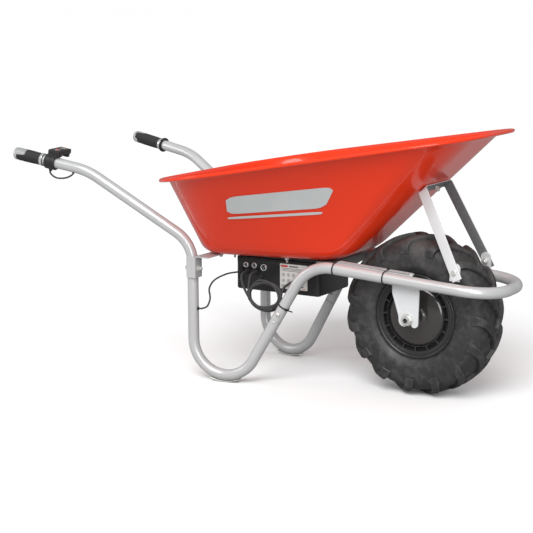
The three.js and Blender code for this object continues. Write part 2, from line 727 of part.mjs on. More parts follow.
// A round panel socket with a raised collar.
function panelSocket(x, z, radius) {
  const profile = [
    [0, 0],
    [radius, 0],
    [radius, 3.5],
    [radius - 1, 5],
    [radius - 2.2, 5],
    [radius - 2.2, 2],
    [0, 2],
  ];
  return placed(turned(profile, 24), onBoxFace(x, z), faceOut);
}

const GLAND = { length: 15, radius: 6.5, tip: 4.4 };

// A rubber plug boot on the box's right-hand face.
function cableGland(x, z) {
  const profile = [
    [0, 0],
    [GLAND.radius, 0],
    [GLAND.radius, 6],
    [GLAND.tip + 0.8, 8],
    [GLAND.tip, GLAND.length],
    [0, GLAND.length],
  ];
  return placed(turned(profile, 16), onBoxFace(x, z), faceOut);
}

// ---- wheel ----
const POCKETS = 16;
const POCKET = { inner: 76.5, outer: 87.5, half: 14 };

// Stands a turned wheel part on the axle line.
function onAxle(shape) {
  shape.rotateX(Math.PI / 2);
  shape.translate(0, 0, AXLE_UP);
  return shape;
}

// The rim: a barrel with a flange and a ring of open pockets on each side.
function wheelRim() {
  const flangeThick = 4;
  const face = RIM_HALF_WIDTH - flangeThick;
  const seat = RIM_RADIUS - 12;
  const profile = [
    [HUB_RADIUS + GAP, -face],
    [seat - 2, -face],
    [seat - 2, -RIM_HALF_WIDTH],
    [RIM_RADIUS, -RIM_HALF_WIDTH],
    [RIM_RADIUS, -face],
    [seat, -face],
    [seat, face],
    [RIM_RADIUS, face],
    [RIM_RADIUS, RIM_HALF_WIDTH],
    [seat - 2, RIM_HALF_WIDTH],
    [seat - 2, face],
    [HUB_RADIUS + GAP, face],
    [HUB_RADIUS + GAP, face - 12],
    [seat - 4, face - 12],
    [seat - 4, -face + 12],
    [HUB_RADIUS + GAP, -face + 12],
    [HUB_RADIUS + GAP, -face],
  ];
  const pockets = [];
  for (let i = 0; i < POCKETS; i += 1) {
    const pocket = box(POCKET.inner, POCKET.outer, -POCKET.half, POCKET.half, -RIM_HALF_WIDTH - 5, RIM_HALF_WIDTH + 5);
    pocket.rotateZ((2 * Math.PI * (i + 0.5)) / POCKETS);
    pockets.push(pocket);
  }
  return onAxle(cutFrom(turned(profile, 48), ...pockets));
}

// The tyre's casing, seated between the rim flanges.
function tyre() {
  const seat = RIM_RADIUS - 12 + GAP;
  const bead = RIM_HALF_WIDTH - 4 - GAP;
  const wide = TYRE_HALF_WIDTH;
  const outer = [
    [seat, bead - 12],
    [seat, bead],
    [RIM_RADIUS + 1, bead],
    [RIM_RADIUS + 6, wide - 8],
    [RIM_RADIUS + 35, wide],
    [WHEEL_RADIUS - 25, wide - 4],
    [WHEEL_RADIUS - 7, wide - 20],
    [WHEEL_RADIUS, wide - 45],
  ];
  const inner = [
    [WHEEL_RADIUS - 16, 36],
    [RIM_RADIUS + 45, wide - 11],
    [RIM_RADIUS + 4, bead - 10],
  ];
  const flip = (pairs) => pairs.map(([radius, height]) => [radius, -height]);
  const loop = [...flip(outer), ...[...outer].reverse(), ...[...inner].reverse(), ...flip(inner)];
  return onAxle(turned([...loop, loop[0]], 52));
}

const BEARING = { bore: 10.3, radius: 21, inner: 40, outer: 52 };

// One domed half of the hub motor's case, with a pocket behind it for the bearing.
function motorCover() {
  const profile = [
    [BEARING.bore, 58],
    [BEARING.bore, BEARING.outer + GAP],
    [BEARING.radius + GAP, BEARING.outer + GAP],
    [BEARING.radius + GAP, 42],
    [HUB_RADIUS, 38],
    [HUB_RADIUS, 46],
    [66, 50],
    [50, 54],
    [34, 56],
    [28, 60],
    [20, 61],
    [BEARING.bore, 61],
    [BEARING.bore, 58],
  ];
  return onAxle(turned(profile, 36));
}

// ---- grips and controls ----
const GRIP = { length: 91, radius: TUBE_RADIUS + 3, cap: TUBE_RADIUS + 1.6, capLength: 30 };

// A grip sleeve with a closed end cap, bored for the handle tube.
function gripSleeve(length) {
  const bore = TUBE_RADIUS + GAP;
  const profile = [
    [0, 0],
    [GRIP.cap - 3, 0],
    [GRIP.cap, 3],
    [GRIP.cap, GRIP.capLength],
    [GRIP.radius, GRIP.capLength + 1],
    [GRIP.radius, length],
    [bore, length],
    [bore, 4.5],
    [0, 4.5],
  ];
  return placed(turned(profile, 24), gripEnd.clone(), handleAxis);
}

const HOUSING = { start: 98, end: 128, radius: TUBE_RADIUS + 6 };
const GAUGE = { start: 104, length: 34, out: 13, width: 64, low: HOUSING.radius + 0.5, high: HOUSING.radius + 13 };

// Axes of the right grip: along it, level across it (inwards) and square to both.
function gripFrame(distance) {
  const inward = point(0, 1, 0).addScaledVector(handleAxis, -handleAxis.y).normalize();
  const upward = point(0, 0, 0).crossVectors(handleAxis, inward);
  return new THREE.Matrix4().makeBasis(handleAxis, inward, upward).setPosition(handleAt(distance));
}

// The throttle's clamp housing round the tube, with a cable outlet beneath.
function throttleHousing() {
  const sleeve = ring(TUBE_RADIUS + GAP, HOUSING.radius, 0, HOUSING.end - HOUSING.start, 24);
  sleeve.rotateY(Math.PI / 2);
  const outlet = rod(5, 8, 16);
  placed(outlet, point(13, 0, -HOUSING.radius + 3), point(0, 0, -1));
  const shape = joined(sleeve, outlet);
  shape.applyMatrix4(gripFrame(HOUSING.start));
  return shape;
}

// The flat gauge box on top of the throttle, with a turned-down inner end.
function gaugeBox() {
  const body = roundedPlate(GAUGE.length, GAUGE.width, GAUGE.high - GAUGE.low, 5, 4);
  body.translate(GAUGE.length / 2, GAUGE.width / 2 - GAUGE.out, GAUGE.low);
  const lip = roundedPlate(GAUGE.length - 6, 12, 14, 4, 3);
  lip.translate(GAUGE.length / 2, GAUGE.width - GAUGE.out - 7, GAUGE.low - 9);
  const well = rod(BUTTON.radius + GAP, 8, 20);
  well.translate(BUTTON.along, BUTTON.across, GAUGE.high - BUTTON.well);
  const shape = cutFrom(joined(body, lip), well);
  shape.applyMatrix4(gripFrame(GAUGE.start));
  return shape;
}

const BUTTON = { radius: 5, along: 17, across: 8, well: 5, low: 2.4, high: 1.6 };

// The round push button in the gauge box's face.
function powerButton() {
  const cap = rod(BUTTON.radius, BUTTON.well - BUTTON.low + BUTTON.high, 20);
  cap.translate(BUTTON.along, BUTTON.across, GAUGE.high - BUTTON.well + BUTTON.low);
  cap.applyMatrix4(gripFrame(GAUGE.start));
  return cap;
}

// ---- build: frame ----
addPart("handle_tube_right", handleTube("right"), "tube");
addPart("handle_tube_left", mirrored(handleTube("left")), "tube");
addPart("front_loop_tube", frontLoop(), "tube");
addPair("foot_shoe", footShoe(), "zinc");
addPair("leg_saddle", saddle(), "tube");
addPart("rear_cross_strip", rearStrip(), "tube");
addPart("front_cross_channel", frontChannel(), "channel");
addPair("fork_rail", forkRail(), "bright");
addPair("fork_plate", forkPlate(), "bright");

const saddleGrip = 2 * TUBE_RADIUS + SADDLE.slack + SADDLE.sheet + 2 * GAP;
const saddleBolt = boltAndNut(SADDLE_BOLT_RADIUS, saddleGrip, 15);
addPair(
  "saddle_bolt",
  placed(saddleBolt, point(legTop.x - TUBE_RADIUS - GAP, legTop.y, SADDLE_BOLT_UP), point(1, 0, 0)),
  "zinc",
);
const jointBolt = domedBolt(JOINT_BOLT_RADIUS, 2 * (TUBE_RADIUS + GAP), 6);
const jointBoltStart = jointBoltPlace.clone().addScaledVector(legSide, -TUBE_RADIUS - GAP);
addPair("joint_bolt", placed(jointBolt, jointBoltStart, legSide), "zinc");

// ---- build: tray and strut ----
addPart("tray", tray(), "tray");
addPart("tray_strut", trayStrut(), "bright");
addPair("strut_tab", strutTab(), "bright");
const footGrip = STRUT_THICK + TAB.thick + 3 * GAP + 2.8;
const strutBolt = boltAndNut(SADDLE_BOLT_RADIUS, footGrip, 13);
const strutBoltStart = strutFoot.clone().addScaledVector(strutOut, STRUT_THICK / 2 + 1);
addPair("strut_bolt", placed(strutBolt, strutBoltStart, strutOut.clone().negate()), "zinc");
const crownBolt = boltAndNut(SADDLE_BOLT_RADIUS, 14, 13, 3, 6, 3);
const crownStart = strutBoltPlace.clone().addScaledVector(frontWallOut, -TRAY_SHEET - 1.2);
addPart("strut_crown_bolt", placed(crownBolt, crownStart, frontWallOut), "zinc");
const trayBolt = boltAndNut(TRAY_BOLT.radius, TRAY_SHEET + STRIP.thick + 3 * GAP, 13, 3, 6, 3);
addPair(
  "tray_bolt",
  placed(trayBolt, point(TRAY_BOLT.back, -TRAY_BOLT.out, TRAY_FLOOR_UP + TRAY_SHEET + GAP), point(0, 0, -1)),
  "zinc",
);

// ---- build: battery box ----
addPart("power_box", boxShell(), "plastic");
addPart("power_box_lid", boxLid(), "gloss");
addPart("battery_pack", box(-484, -342, -58, 58, 229.5, 302), "cell");
addPart("motor_controller", box(-332, -264, -46, 46, 229.5, 268), "alloy");
const label = roundedPlate(80, 64, 0.8, 2, 2);
addPart("rating_label", placed(label, onBoxFace(-326, 271), faceOut), "label");
addPart("panel_socket_1", panelSocket(-466, 291, 7.5), "steel");
addPart("panel_socket_2", panelSocket(-441, 291, 7.5), "steel");
addPart("panel_socket_3", panelSocket(-413, 288, 9), "steel");
const glandPlaces = [point(-481, 0, 273), point(-462, 0, 274), point(-436, 0, 274)];
glandPlaces.forEach((place, i) => addPart(`cable_gland_${i + 1}`, cableGland(place.x, place.z), "rubber"));

// ---- build: wheel ----
const shoulder = -forkInner - FORK.thick - GAP;
addPart(
  "axle",
  onAxle(
    turned(
      [[0, -108], [6, -108], [AXLE_RADIUS, -107], [AXLE_RADIUS, -shoulder], [10, -shoulder], [10, shoulder]]
        .concat([[AXLE_RADIUS, shoulder], [AXLE_RADIUS, 107], [6, 108], [0, 108]]),
      24,
    ),
  ),
  "steel",
);
const nutStart = -forkInner + GAP;
const nut = new THREE.CylinderGeometry(13, 13, 8, 6);
nut.rotateX(Math.PI / 2);
nut.translate(0, 0, 6.2);
const axleNut = cutFrom(joined(nut, rod(15, 2.4, 24)), rod(AXLE_RADIUS + GAP, 30, 24).translate(0, 0, -5));
addPair("axle_nut", placed(axleNut, point(0, -nutStart, AXLE_UP), faceOut), "zinc");
addPart("motor_stator", onAxle(ring(10.3, 58, -30, 30, 40)), "copper");
addPair("hub_bearing", onAxle(ring(BEARING.bore, BEARING.radius, BEARING.inner, BEARING.outer, 28)), "steel");
addPair("motor_cover", motorCover(), "rim");
addPart("wheel_rim", wheelRim(), "rim");
addPart("tyre", tyre(), "tyre");

// ---- build: grips and controls ----
addPart("throttle_grip", gripSleeve(GRIP.length), "rubber");
addPart("grip_left", mirrored(gripSleeve(GRIP.length + 20)), "rubber");
const flangeRing = placed(
  ring(TUBE_RADIUS + GAP, TUBE_RADIUS + 6.5, 0, 7, 28),
  handleAt(GRIP.length + 20 + GAP),
  handleAxis,
);
addPart("grip_ring_left", mirrored(flangeRing), "plastic");
addPart("throttle_housing", throttleHousing(), "plastic");
addPart("gauge_box", gaugeBox(), "plastic");
addPart("power_button", powerButton(), "red");

// ---- build: cables ----
const THROTTLE_CABLE = 5;
const MOTOR_CABLE = 7;
const housingOutlet = point(13, 0, -HOUSING.radius - 5 - GAP).applyMatrix4(gripFrame(HOUSING.start));
const housingDown = point(0, 0, -1).transformDirection(gripFrame(HOUSING.start));
const tubeEntry = handleAt(HANDLE_CABLE_DOWN).add(point(0, 0, -TUBE_RADIUS - 1));
addPart(
  "throttle_cable_upper",
  cableThrough(
    [
      housingOutlet,
      housingOutlet.clone().addScaledVector(housingDown, 3),
      housingOutlet.clone().add(point(11, 2, -7)),
      tubeEntry.clone().add(point(-20, -3, -7)),
      tubeEntry.clone().add(point(-4, 0, -5)),
      tubeEntry,
    ],
    THROTTLE_CABLE,
    12,
  ),
  "rubber",
);
const tipOf = (place) => point(place.x, -BOX.half - 2 * GAP - GLAND.length, place.z);
addPart(
  "throttle_cable_lower",
  cableThrough(
    [
      point(legTop.x + TUBE_RADIUS + 1, legTop.y, LEG_CABLE_UP),
      point(-545, -170, 184),
      point(-536, -158, 189),
      point(-534, -148, 208),
      point(-540, -142, 232),
      point(-528, -134, 254),
      point(-502, -118, 269),
      tipOf(glandPlaces[0]).add(point(-1, -8, 0)),
      tipOf(glandPlaces[0]),
    ],
    THROTTLE_CABLE,
    22,
  ),
  "rubber",
);

const COIL = { x: -390, y: -118, z: 224, wide: 45, high: 30, thick: 8.5 };
const coilRing = new THREE.LatheGeometry(
  Array.from({ length: 9 }, (_, i) => {
    const angle = (Math.PI * 2 * i) / 8;
    return new THREE.Vector2(COIL.wide + COIL.thick * Math.cos(angle), COIL.thick * Math.sin(angle));
  }),
  24,
);
coilRing.scale(1, 1, COIL.high / COIL.wide);
coilRing.translate(COIL.x, COIL.y, COIL.z);
addPart("cable_coil", coilRing, "rubber");

const coilEdge = (angle, lift) =>
  point(
    COIL.x + (COIL.wide + lift) * Math.cos(angle),
    COIL.y,
    COIL.z + ((COIL.wide + lift) * Math.sin(angle) * COIL.high) / COIL.wide,
  );
const dropCable = (place, angle) =>
  cableThrough(
    [
      tipOf(place),
      tipOf(place).add(point(0, -6, 0)),
      tipOf(place).add(point(3, -12, -8)),
      coilEdge(angle, COIL.thick + 6).add(point(0, 0, 4)),
      coilEdge(angle, COIL.thick + 1.5),
    ],
    MOTOR_CABLE - 1,
    8,
  );
addPart("motor_cable_drop", dropCable(glandPlaces[1], 2.35), "rubber");
addPart("sensor_cable_drop", dropCable(glandPlaces[2], 1.9), "rubber");
addPart(
  "motor_cable_run",
  cableThrough(
    [
      coilEdge(0, COIL.thick + 1.5),
      point(-326, -114, 231),
      point(-300, -104, 254),
      point(-270, -95, 283),
      point(-235, -92, 291),
      point(-150, -90, 288),
      point(-75, -82, 278),
      point(-38, -79, 262),
      point(-12, -78.5, 232),
      point(-1, -78.5, 217),
      point(0, -78.5, 210.6),
    ],
    MOTOR_CABLE,
    32,
  ),
  "rubber",
);

export default model;
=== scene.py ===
"""Looks of a powered garden wheelbarrow: tube frame, pressed tray, driven wheel, battery box, controls."""

import logging
import math
from dataclasses import dataclass, field
from enum import Enum

import bmesh
import bpy
import numpy as np
from mathutils import Matrix


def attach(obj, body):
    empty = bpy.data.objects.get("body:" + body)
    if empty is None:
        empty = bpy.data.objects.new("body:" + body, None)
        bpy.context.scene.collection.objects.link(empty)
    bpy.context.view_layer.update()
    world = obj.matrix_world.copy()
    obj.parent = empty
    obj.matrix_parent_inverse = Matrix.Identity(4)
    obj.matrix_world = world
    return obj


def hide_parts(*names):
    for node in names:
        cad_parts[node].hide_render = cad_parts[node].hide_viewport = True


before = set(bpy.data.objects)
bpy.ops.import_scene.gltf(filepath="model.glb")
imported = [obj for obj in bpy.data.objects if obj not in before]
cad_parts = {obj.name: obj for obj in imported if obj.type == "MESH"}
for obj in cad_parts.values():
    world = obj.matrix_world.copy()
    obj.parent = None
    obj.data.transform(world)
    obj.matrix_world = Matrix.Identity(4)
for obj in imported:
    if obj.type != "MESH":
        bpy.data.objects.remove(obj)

Array = np.ndarray
log = logging.getLogger("wheelbarrow")

MM = 0.001
WHEEL_AHEAD = 412.35
GAP = 0.3
FULL_FRAME = 36.0
FLOOR_REACH = 60.0
FLOOR_DROP = 0.0006
UP = np.array([0.0, 0.0, 1.0])
LEFT = np.array([0.0, 1.0, 0.0])
AHEAD = np.array([1.0, 0.0, 0.0])


class Side(Enum):
    """The two sides of the barrow, seen by the person who pushes it."""

    RIGHT = 1.0
    LEFT = -1.0

    @property
    def word(self) -> str:
        """The side's name in small letters, as pieces and nodes have it."""
        return self.name.lower()

    def turn(self, places: "Array") -> "Array":
        """Places made for the right side, moved to this side."""
        return places * np.array([1.0, self.value, 1.0])


class Body(Enum):
    """The rigid bodies that a piece can ride on."""

    FRAME = "frame"
    WHEEL = "drive_wheel"
    GRIP = "twist_grip"
    BUTTON = "push_button"


# ---------------------------------------------------------------- arrays and shapes


def vector(*values: float) -> Array:
    """A point or a direction as an array."""
    return np.array(values, dtype=float)


def unit(value: Array) -> Array:
    """The same direction with a length of one, along the last axis."""
    return value / np.linalg.norm(value, axis=-1, keepdims=True)


def full_turn(steps: int) -> Array:
    """Evenly spaced angles once round, without the last that would repeat the first."""
    return np.linspace(0, 2 * math.pi, steps, endpoint=False)


def on_edge(places: Array) -> Array:
    """A shape made flat, stood on edge: its height becomes its sideways place."""
    return places[..., [0, 2, 1]]


def ease(value: Array) -> Array:
    """A smooth step: 3 t squared less 2 t cubed, with t held between 0 and 1."""
    t = np.clip(value, 0.0, 1.0)
    return t * t * (3.0 - 2.0 * t)


def smooth_curve(points: Array, per_span: int, closed: bool = False) -> Array:
    """A smooth line through given places.

    Each span is a cubic whose end slopes are half the step between the neighbours on both sides.

    Args:
        points: The places, one row each.
        per_span: How many steps each span gets.
        closed: Whether the line joins its own start.

    Returns:
        The places along the line, one row each.
    """
    points = np.asarray(points, dtype=float)
    if closed:
        padded = np.vstack([points[-1:], points, points[:2]])
    else:
        padded = np.vstack([2 * points[0] - points[1], points, 2 * points[-1] - points[-2]])
    p0, p1, p2, p3 = padded[:-3, None], padded[1:-2, None], padded[2:-1, None], padded[3:, None]
    t = np.linspace(0.0, 1.0, per_span, endpoint=False)[None, :, None]
    curve = 0.5 * (
        2 * p1 + (p2 - p0) * t + (2 * p0 - 5 * p1 + 4 * p2 - p3) * t**2 + (3 * p1 - p0 - 3 * p2 + p3) * t**3
    )
    curve = curve.reshape(-1, points.shape[1])
    return curve if closed else np.vstack([curve, points[-1:]])


@dataclass
class BentLine:
    """A line of straight runs joined by round bends.

    Attributes:
        places: The places along the line.
        headings: The direction of travel at each place.
    """

    places: Array
    headings: Array

    @classmethod
    def through(cls, corners: list[Array], radii: list[float], step: float = 0.07) -> "BentLine":
        """Rounds each inner corner with an arc.

        An arc starts its radius times the tangent of half the turn before the corner, and each of its
        places is the start plus the radius times the sine of the angle along the way in and one less
        the cosine of it towards the inside.

        Args:
            corners: The line's ends and corners.
            radii: One bend radius for each inner corner.
            step: The largest angle between two places of a bend.

        Returns:
            The rounded line.
        """
        places = [corners[0][None]]
        headings = [unit(corners[1] - corners[0])[None]]
        for before, corner, after, radius in zip(corners, corners[1:], corners[2:], radii):
            way_in = unit(corner - before)
            way_out = unit(after - corner)
            turn = math.acos(float(np.clip(way_in @ way_out, -1, 1)))
            inward = unit(way_out - way_in * (way_in @ way_out))
            start = corner - way_in * radius * math.tan(turn / 2)
            swept = np.linspace(0.0, turn, max(3, int(turn / step) + 2))[:, None]
            places.append(start + inward * radius * (1 - np.cos(swept)) + way_in * radius * np.sin(swept))
            headings.append(way_in * np.cos(swept) + inward * np.sin(swept))
        places.append(corners[-1][None])
        headings.append(unit(corners[-1] - corners[-2])[None])
        return cls(np.vstack(places), np.vstack(headings))

    def strip(self, thick: float) -> Array:
        """The outline in x and y of a strip of a thickness, bent along the line: half of it to each side."""
        out = np.stack([self.headings[:, 1], -self.headings[:, 0]], axis=-1)
        return np.vstack([self.places[:, :2] + out * thick / 2, (self.places[:, :2] - out * thick / 2)[::-1]])


def swept_tube(line: BentLine, radius: float, sides: int, reference: Array, edge: float = 0.0) -> Array:
    """A round tube's skin: each place plus the radius times the cosine and the sine along two cross directions.

    Args:
        line: The tube's middle line.
        radius: The tube's outer radius.
        sides: How many faces go round the tube.
        reference: A direction that the line never runs along.
        edge: How far each end is broken inwards, like a deburred cut.

    Returns:
        A grid of places, one row for each station.
    """
    across = unit(reference - line.headings * (line.headings @ reference)[:, None])
    other = np.cross(line.headings, across)
    places = line.places
    radii = np.full(len(places), radius)
    if edge > 0:
        ends = line.headings[[0, -1]] * edge
        places = np.vstack([places[0], places[0] + ends[0], places[1:-1], places[-1] - ends[1], places[-1]])
        across = np.vstack([across[:1], across, across[-1:]])
        other = np.vstack([other[:1], other, other[-1:]])
        radii = np.concatenate([[radius - edge], np.full(len(places) - 2, radius), [radius - edge]])
    angle = full_turn(sides)
    ring = across[:, None] * np.cos(angle)[None, :, None] + other[:, None] * np.sin(angle)[None, :, None]
    return places[:, None] + radii[:, None, None] * ring


def revolved(profile: Array, sides: int, height: Array | None = None) -> Array:
    """A turned shape: radius times cosine and sine of the angle, with the profile's height.

    Args:
        profile: Radius and height pairs, one row each.
        sides: How many faces go round.
        height: Extra height for each row and side, or None.

    Returns:
        A grid of places round the z axis, one row for each profile pair.
    """
    profile = np.asarray(profile, dtype=float)
    angle = full_turn(sides)
    radius = profile[:, 0:1]
    level = np.repeat(profile[:, 1:2], sides, axis=1)
    if height is not None:
        level = level + height
    return np.stack([radius * np.cos(angle), radius * np.sin(angle), level], axis=-1)


def rounded_profile(pairs: list[tuple[float, float]], radius: float = 1.0, steps: int = 4) -> Array:
    """A turned part's outline with each inner corner rounded by a small arc of a quadratic curve.

    Args:
        pairs: Radius and height pairs.
        radius: How far from a corner its rounding starts, at most 45% of either run.
        steps: How many steps each rounding has.

    Returns:
        The rounded outline.
    """
    points = np.asarray(pairs, dtype=float)
    before, corner, after = points[:-2], points[1:-1], points[2:]
    run_in = np.linalg.norm(corner - before, axis=1)
    run_out = np.linalg.norm(after - corner, axis=1)
    reach = np.minimum(radius, 0.45 * np.minimum(run_in, run_out))[:, None]
    start = corner + unit(before - corner) * reach
    end = corner + unit(after - corner) * reach
    t = np.linspace(0, 1, steps + 1)[None, :, None]
    arcs = (1 - t) ** 2 * start[:, None] + 2 * t * (1 - t) * corner[:, None] + t**2 * end[:, None]
    return np.vstack([points[:1], arcs.reshape(-1, 2), points[-1:]])


def rounded_rectangle(width: float, depth: float, radius: float, steps: int = 6) -> Array:
    """A rectangle's outline with four quarter-circle corners, counter-clockwise from the lower left."""
    middle = np.array([[-1, -1], [1, -1], [1, 1], [-1, 1]]) * (np.array([width, depth]) / 2 - radius)
    angle = np.linspace(0, math.pi / 2, steps + 1)[None, :] + np.array([2, 3, 0, 1])[:, None] * math.pi / 2
    arcs = middle[:, None] + radius * np.stack([np.cos(angle), np.sin(angle)], axis=-1)
    return arcs.reshape(-1, 2)


def lofted(outline: Array, levels: list[tuple[float, float]]) -> Array:
    """Copies of an outline at several heights, each drawn in by its own distance towards the middle.

    Args:
        outline: The outline in x and y.
        levels: Height and inset pairs.

    Returns:
        A grid of places, one row for each level.
    """
    levels_array = np.asarray(levels, dtype=float)
    after = np.roll(outline, -1, axis=0) - outline
    before = outline - np.roll(outline, 1, axis=0)
    along = unit(unit(after + 1e-9) + unit(before + 1e-9))
    inward = np.stack([-along[:, 1], along[:, 0]], axis=-1)
    drawn = outline[None] + inward[None] * levels_array[:, 1][:, None, None]
    height = np.repeat(levels_array[:, 0][:, None], len(outline), axis=1)
    return np.concatenate([drawn, height[..., None]], axis=-1)


def slab(outline: Array, low: float, high: float, edge: float = 0.6) -> Array:
    """A plate of an outline with its edges broken all round: four levels, the outer two drawn in."""
    return lofted(outline, [(low, edge), (low + edge, 0.0), (high - edge, 0.0), (high, edge)])


def linked(name: str, data: bpy.types.ID) -> bpy.types.Object:
    """A new object of some data, linked to the scene."""
    thing = bpy.data.objects.new(name, data)
    bpy.context.scene.collection.objects.link(thing)
    return thing


@dataclass(frozen=True)
class Place:
    """A place with three directions at right angles, to stand shapes in.

    Attributes:
        origin: Where the shape's own origin goes.
        x: Where its x axis points.
        y: Where its y axis points.
        z: Where its z axis points.
    """

    origin: Array
    x: Array
    y: Array
    z: Array

    @classmethod
    def along(cls, origin: Array, axis: Array, reference: Array = UP) -> "Place":
        """A place whose z points along an axis, with x as near as can be to a reference direction."""
        z = unit(axis)
        if abs(float(z @ reference)) > 0.98:
            reference = AHEAD
        x = unit(reference - z * (z @ reference))
        return cls(origin, x, np.cross(z, x), z)

    def at(self, x: float, y: float, z: float) -> "Place":
        """The same directions at another origin, given along them."""
        return Place(self.put(vector(x, y, z)), self.x, self.y, self.z)

    def put(self, points: Array) -> Array:
        """The points moved from the shape's own axes into the barrow's."""
        return self.origin + points[..., :1] * self.x + points[..., 1:2] * self.y + points[..., 2:] * self.z


@dataclass
class Shell:
    """The surfaces of one piece, gathered before they become a mesh.

    Attributes:
        points: Arrays of places in millimetres, laid out from the axle.
        faces: Corner numbers of each face.
        tags: The finish number of each face.
        count: How many places there are so far.
    """

    points: list[Array] = field(default_factory=list)
    faces: list[list[int]] = field(default_factory=list)
    tags: list[int] = field(default_factory=list)
    count: int = 0

    def grid(
        self,
        places: Array,
        wrap_rows: bool = False,
        wrap_columns: bool = True,
        capped: bool = False,
        tag: int = 0,
    ) -> "Shell":
        """Adds a surface whose faces join each place to its neighbours in both directions.

        Args:
            places: A grid of places.
            wrap_rows: Whether the last row joins the first.
            wrap_columns: Whether the last column joins the first.
            capped: Whether the first and the last row are each closed by one face.
            tag: The finish number of the new faces.

        Returns:
            The shell itself.
        """
        rows, columns = places.shape[:2]
        r, c = np.meshgrid(
            np.arange(rows if wrap_rows else rows - 1),
            np.arange(columns if wrap_columns else columns - 1),
            indexing="ij",
        )
        r_next, c_next = (r + 1) % rows, (c + 1) % columns
        corners = [r * columns + c, r * columns + c_next, r_next * columns + c_next, r_next * columns + c]
        quads = np.stack(corners, axis=-1).reshape(-1, 4) + self.count
        self.faces.extend(quads.tolist())
        if capped:
            last = self.count + (rows - 1) * columns
            self.faces.append(list(range(self.count + columns - 1, self.count - 1, -1)))
            self.faces.append(list(range(last, last + columns)))
        self.tags.extend([tag] * (len(self.faces) - len(self.tags)))
        self.points.append(places.reshape(-1, 3))
        self.count += rows * columns
        return self

    def on(self, side: Side) -> "Shell":
        """The same surfaces on a side, from ones made for the right."""
        return self if side is Side.RIGHT else self.mirror()

    def mirror(self) -> "Shell":
        """The same surfaces on the other side of the centre plane."""
        flip = vector(1, -1, 1)
        faces = [face[::-1] for face in self.faces]
        return Shell([part * flip for part in self.points], faces, list(self.tags), self.count)

    def piece(
        self,
        name: str,
        finishes: "Finish | list[Finish]",
        slot: str,
        body: Body = Body.FRAME,
        stands_for: tuple[str, ...] = (),
        sharp: float = 38.0,
        merge: float = 2e-6,
    ) -> bpy.types.Object:
        """Makes the mesh object, in metres in the barrow's own frame.

        Args:
            name: The piece's name.
            finishes: One finish, or one for each tag.
            slot: The name of a material slot; it is not used.
            body: The body that the piece rides on.
            stands_for: The model's nodes that it replaces.
            sharp: Edges that turn more than this many degrees stay crisp.
            merge: Places nearer than this become one.

        Returns:
            The new object.
        """
        places = (np.vstack(self.points) + vector(WHEEL_AHEAD, 0, 0)) * MM
        mesh = bpy.data.meshes.new(name)
        mesh.from_pydata(places.tolist(), [], self.faces)
        mesh.polygons.foreach_set("material_index", np.array(self.tags, dtype=np.int32))
        shape = bmesh.new()
        shape.from_mesh(mesh)
        bmesh.ops.remove_doubles(shape, verts=shape.verts, dist=merge)
        bmesh.ops.dissolve_degenerate(shape, edges=shape.edges, dist=1e-7)
        bmesh.ops.recalc_face_normals(shape, faces=shape.faces)
        shape.to_mesh(mesh)
        shape.free()
        mesh.shade_smooth()
        mesh.set_sharp_from_angle(angle=math.radians(sharp))
        for finish in finishes if isinstance(finishes, list) else [finishes]:
            mesh.materials.append(finish.material())
        thing = linked(name, mesh)
        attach(thing, body.value)
        if stands_for:
            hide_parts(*stands_for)
        log.info("%s: %d faces on %s", name, len(mesh.polygons), body.value)
        return thing


# ---------------------------------------------------------------- finishes


@dataclass
class NodeSheet:
    """A shader node tree with short ways to add and join nodes."""

    tree: bpy.types.NodeTree

    def add(self, kind: str, **settings: object) -> bpy.types.Node:
        """Adds a node of a kind, with its settings."""
        node = self.tree.nodes.new(kind)
        for name, value in settings.items():
            setattr(node, name, value)
        return node

    def join(self, start: bpy.types.NodeSocket, end: bpy.types.NodeSocket) -> None:
        """Joins an output to an input."""
        self.tree.links.new(start, end)

    def math(self, kind: str, first: object, second: object = None) -> bpy.types.NodeSocket:
        """A sum worked out from two values, each a socket or a number."""
        node = self.add("ShaderNodeMath", operation=kind)
        for index, value in enumerate((first, second)):
            if isinstance(value, bpy.types.NodeSocket):
                self.join(value, node.inputs[index])
            elif value is not None:
                node.inputs[index].default_value = value
        return node.outputs[0]

    def noise(self, scale: object, detail: float, vector_from: bpy.types.NodeSocket) -> bpy.types.NodeSocket:
        """A cloudy pattern's value at a scale, which is a socket or a number."""
        node = self.add("ShaderNodeTexNoise")
        node.inputs["Detail"].default_value = detail
        self.join(vector_from, node.inputs["Vector"])
        if isinstance(scale, bpy.types.NodeSocket):
            self.join(scale, node.inputs["Scale"])
        else:
            node.inputs["Scale"].default_value = scale
        return node.outputs[0]

    def mix(self, share: object, first: object, second: object) -> bpy.types.NodeSocket:
        """A colour between two, each a socket or a colour."""
        node = self.add("ShaderNodeMix", data_type="RGBA")
        for index, value in ((0, share), (6, first), (7, second)):
            if isinstance(value, bpy.types.NodeSocket):
                self.join(value, node.inputs[index])
            else:
                node.inputs[index].default_value = value
        return node.outputs[2]


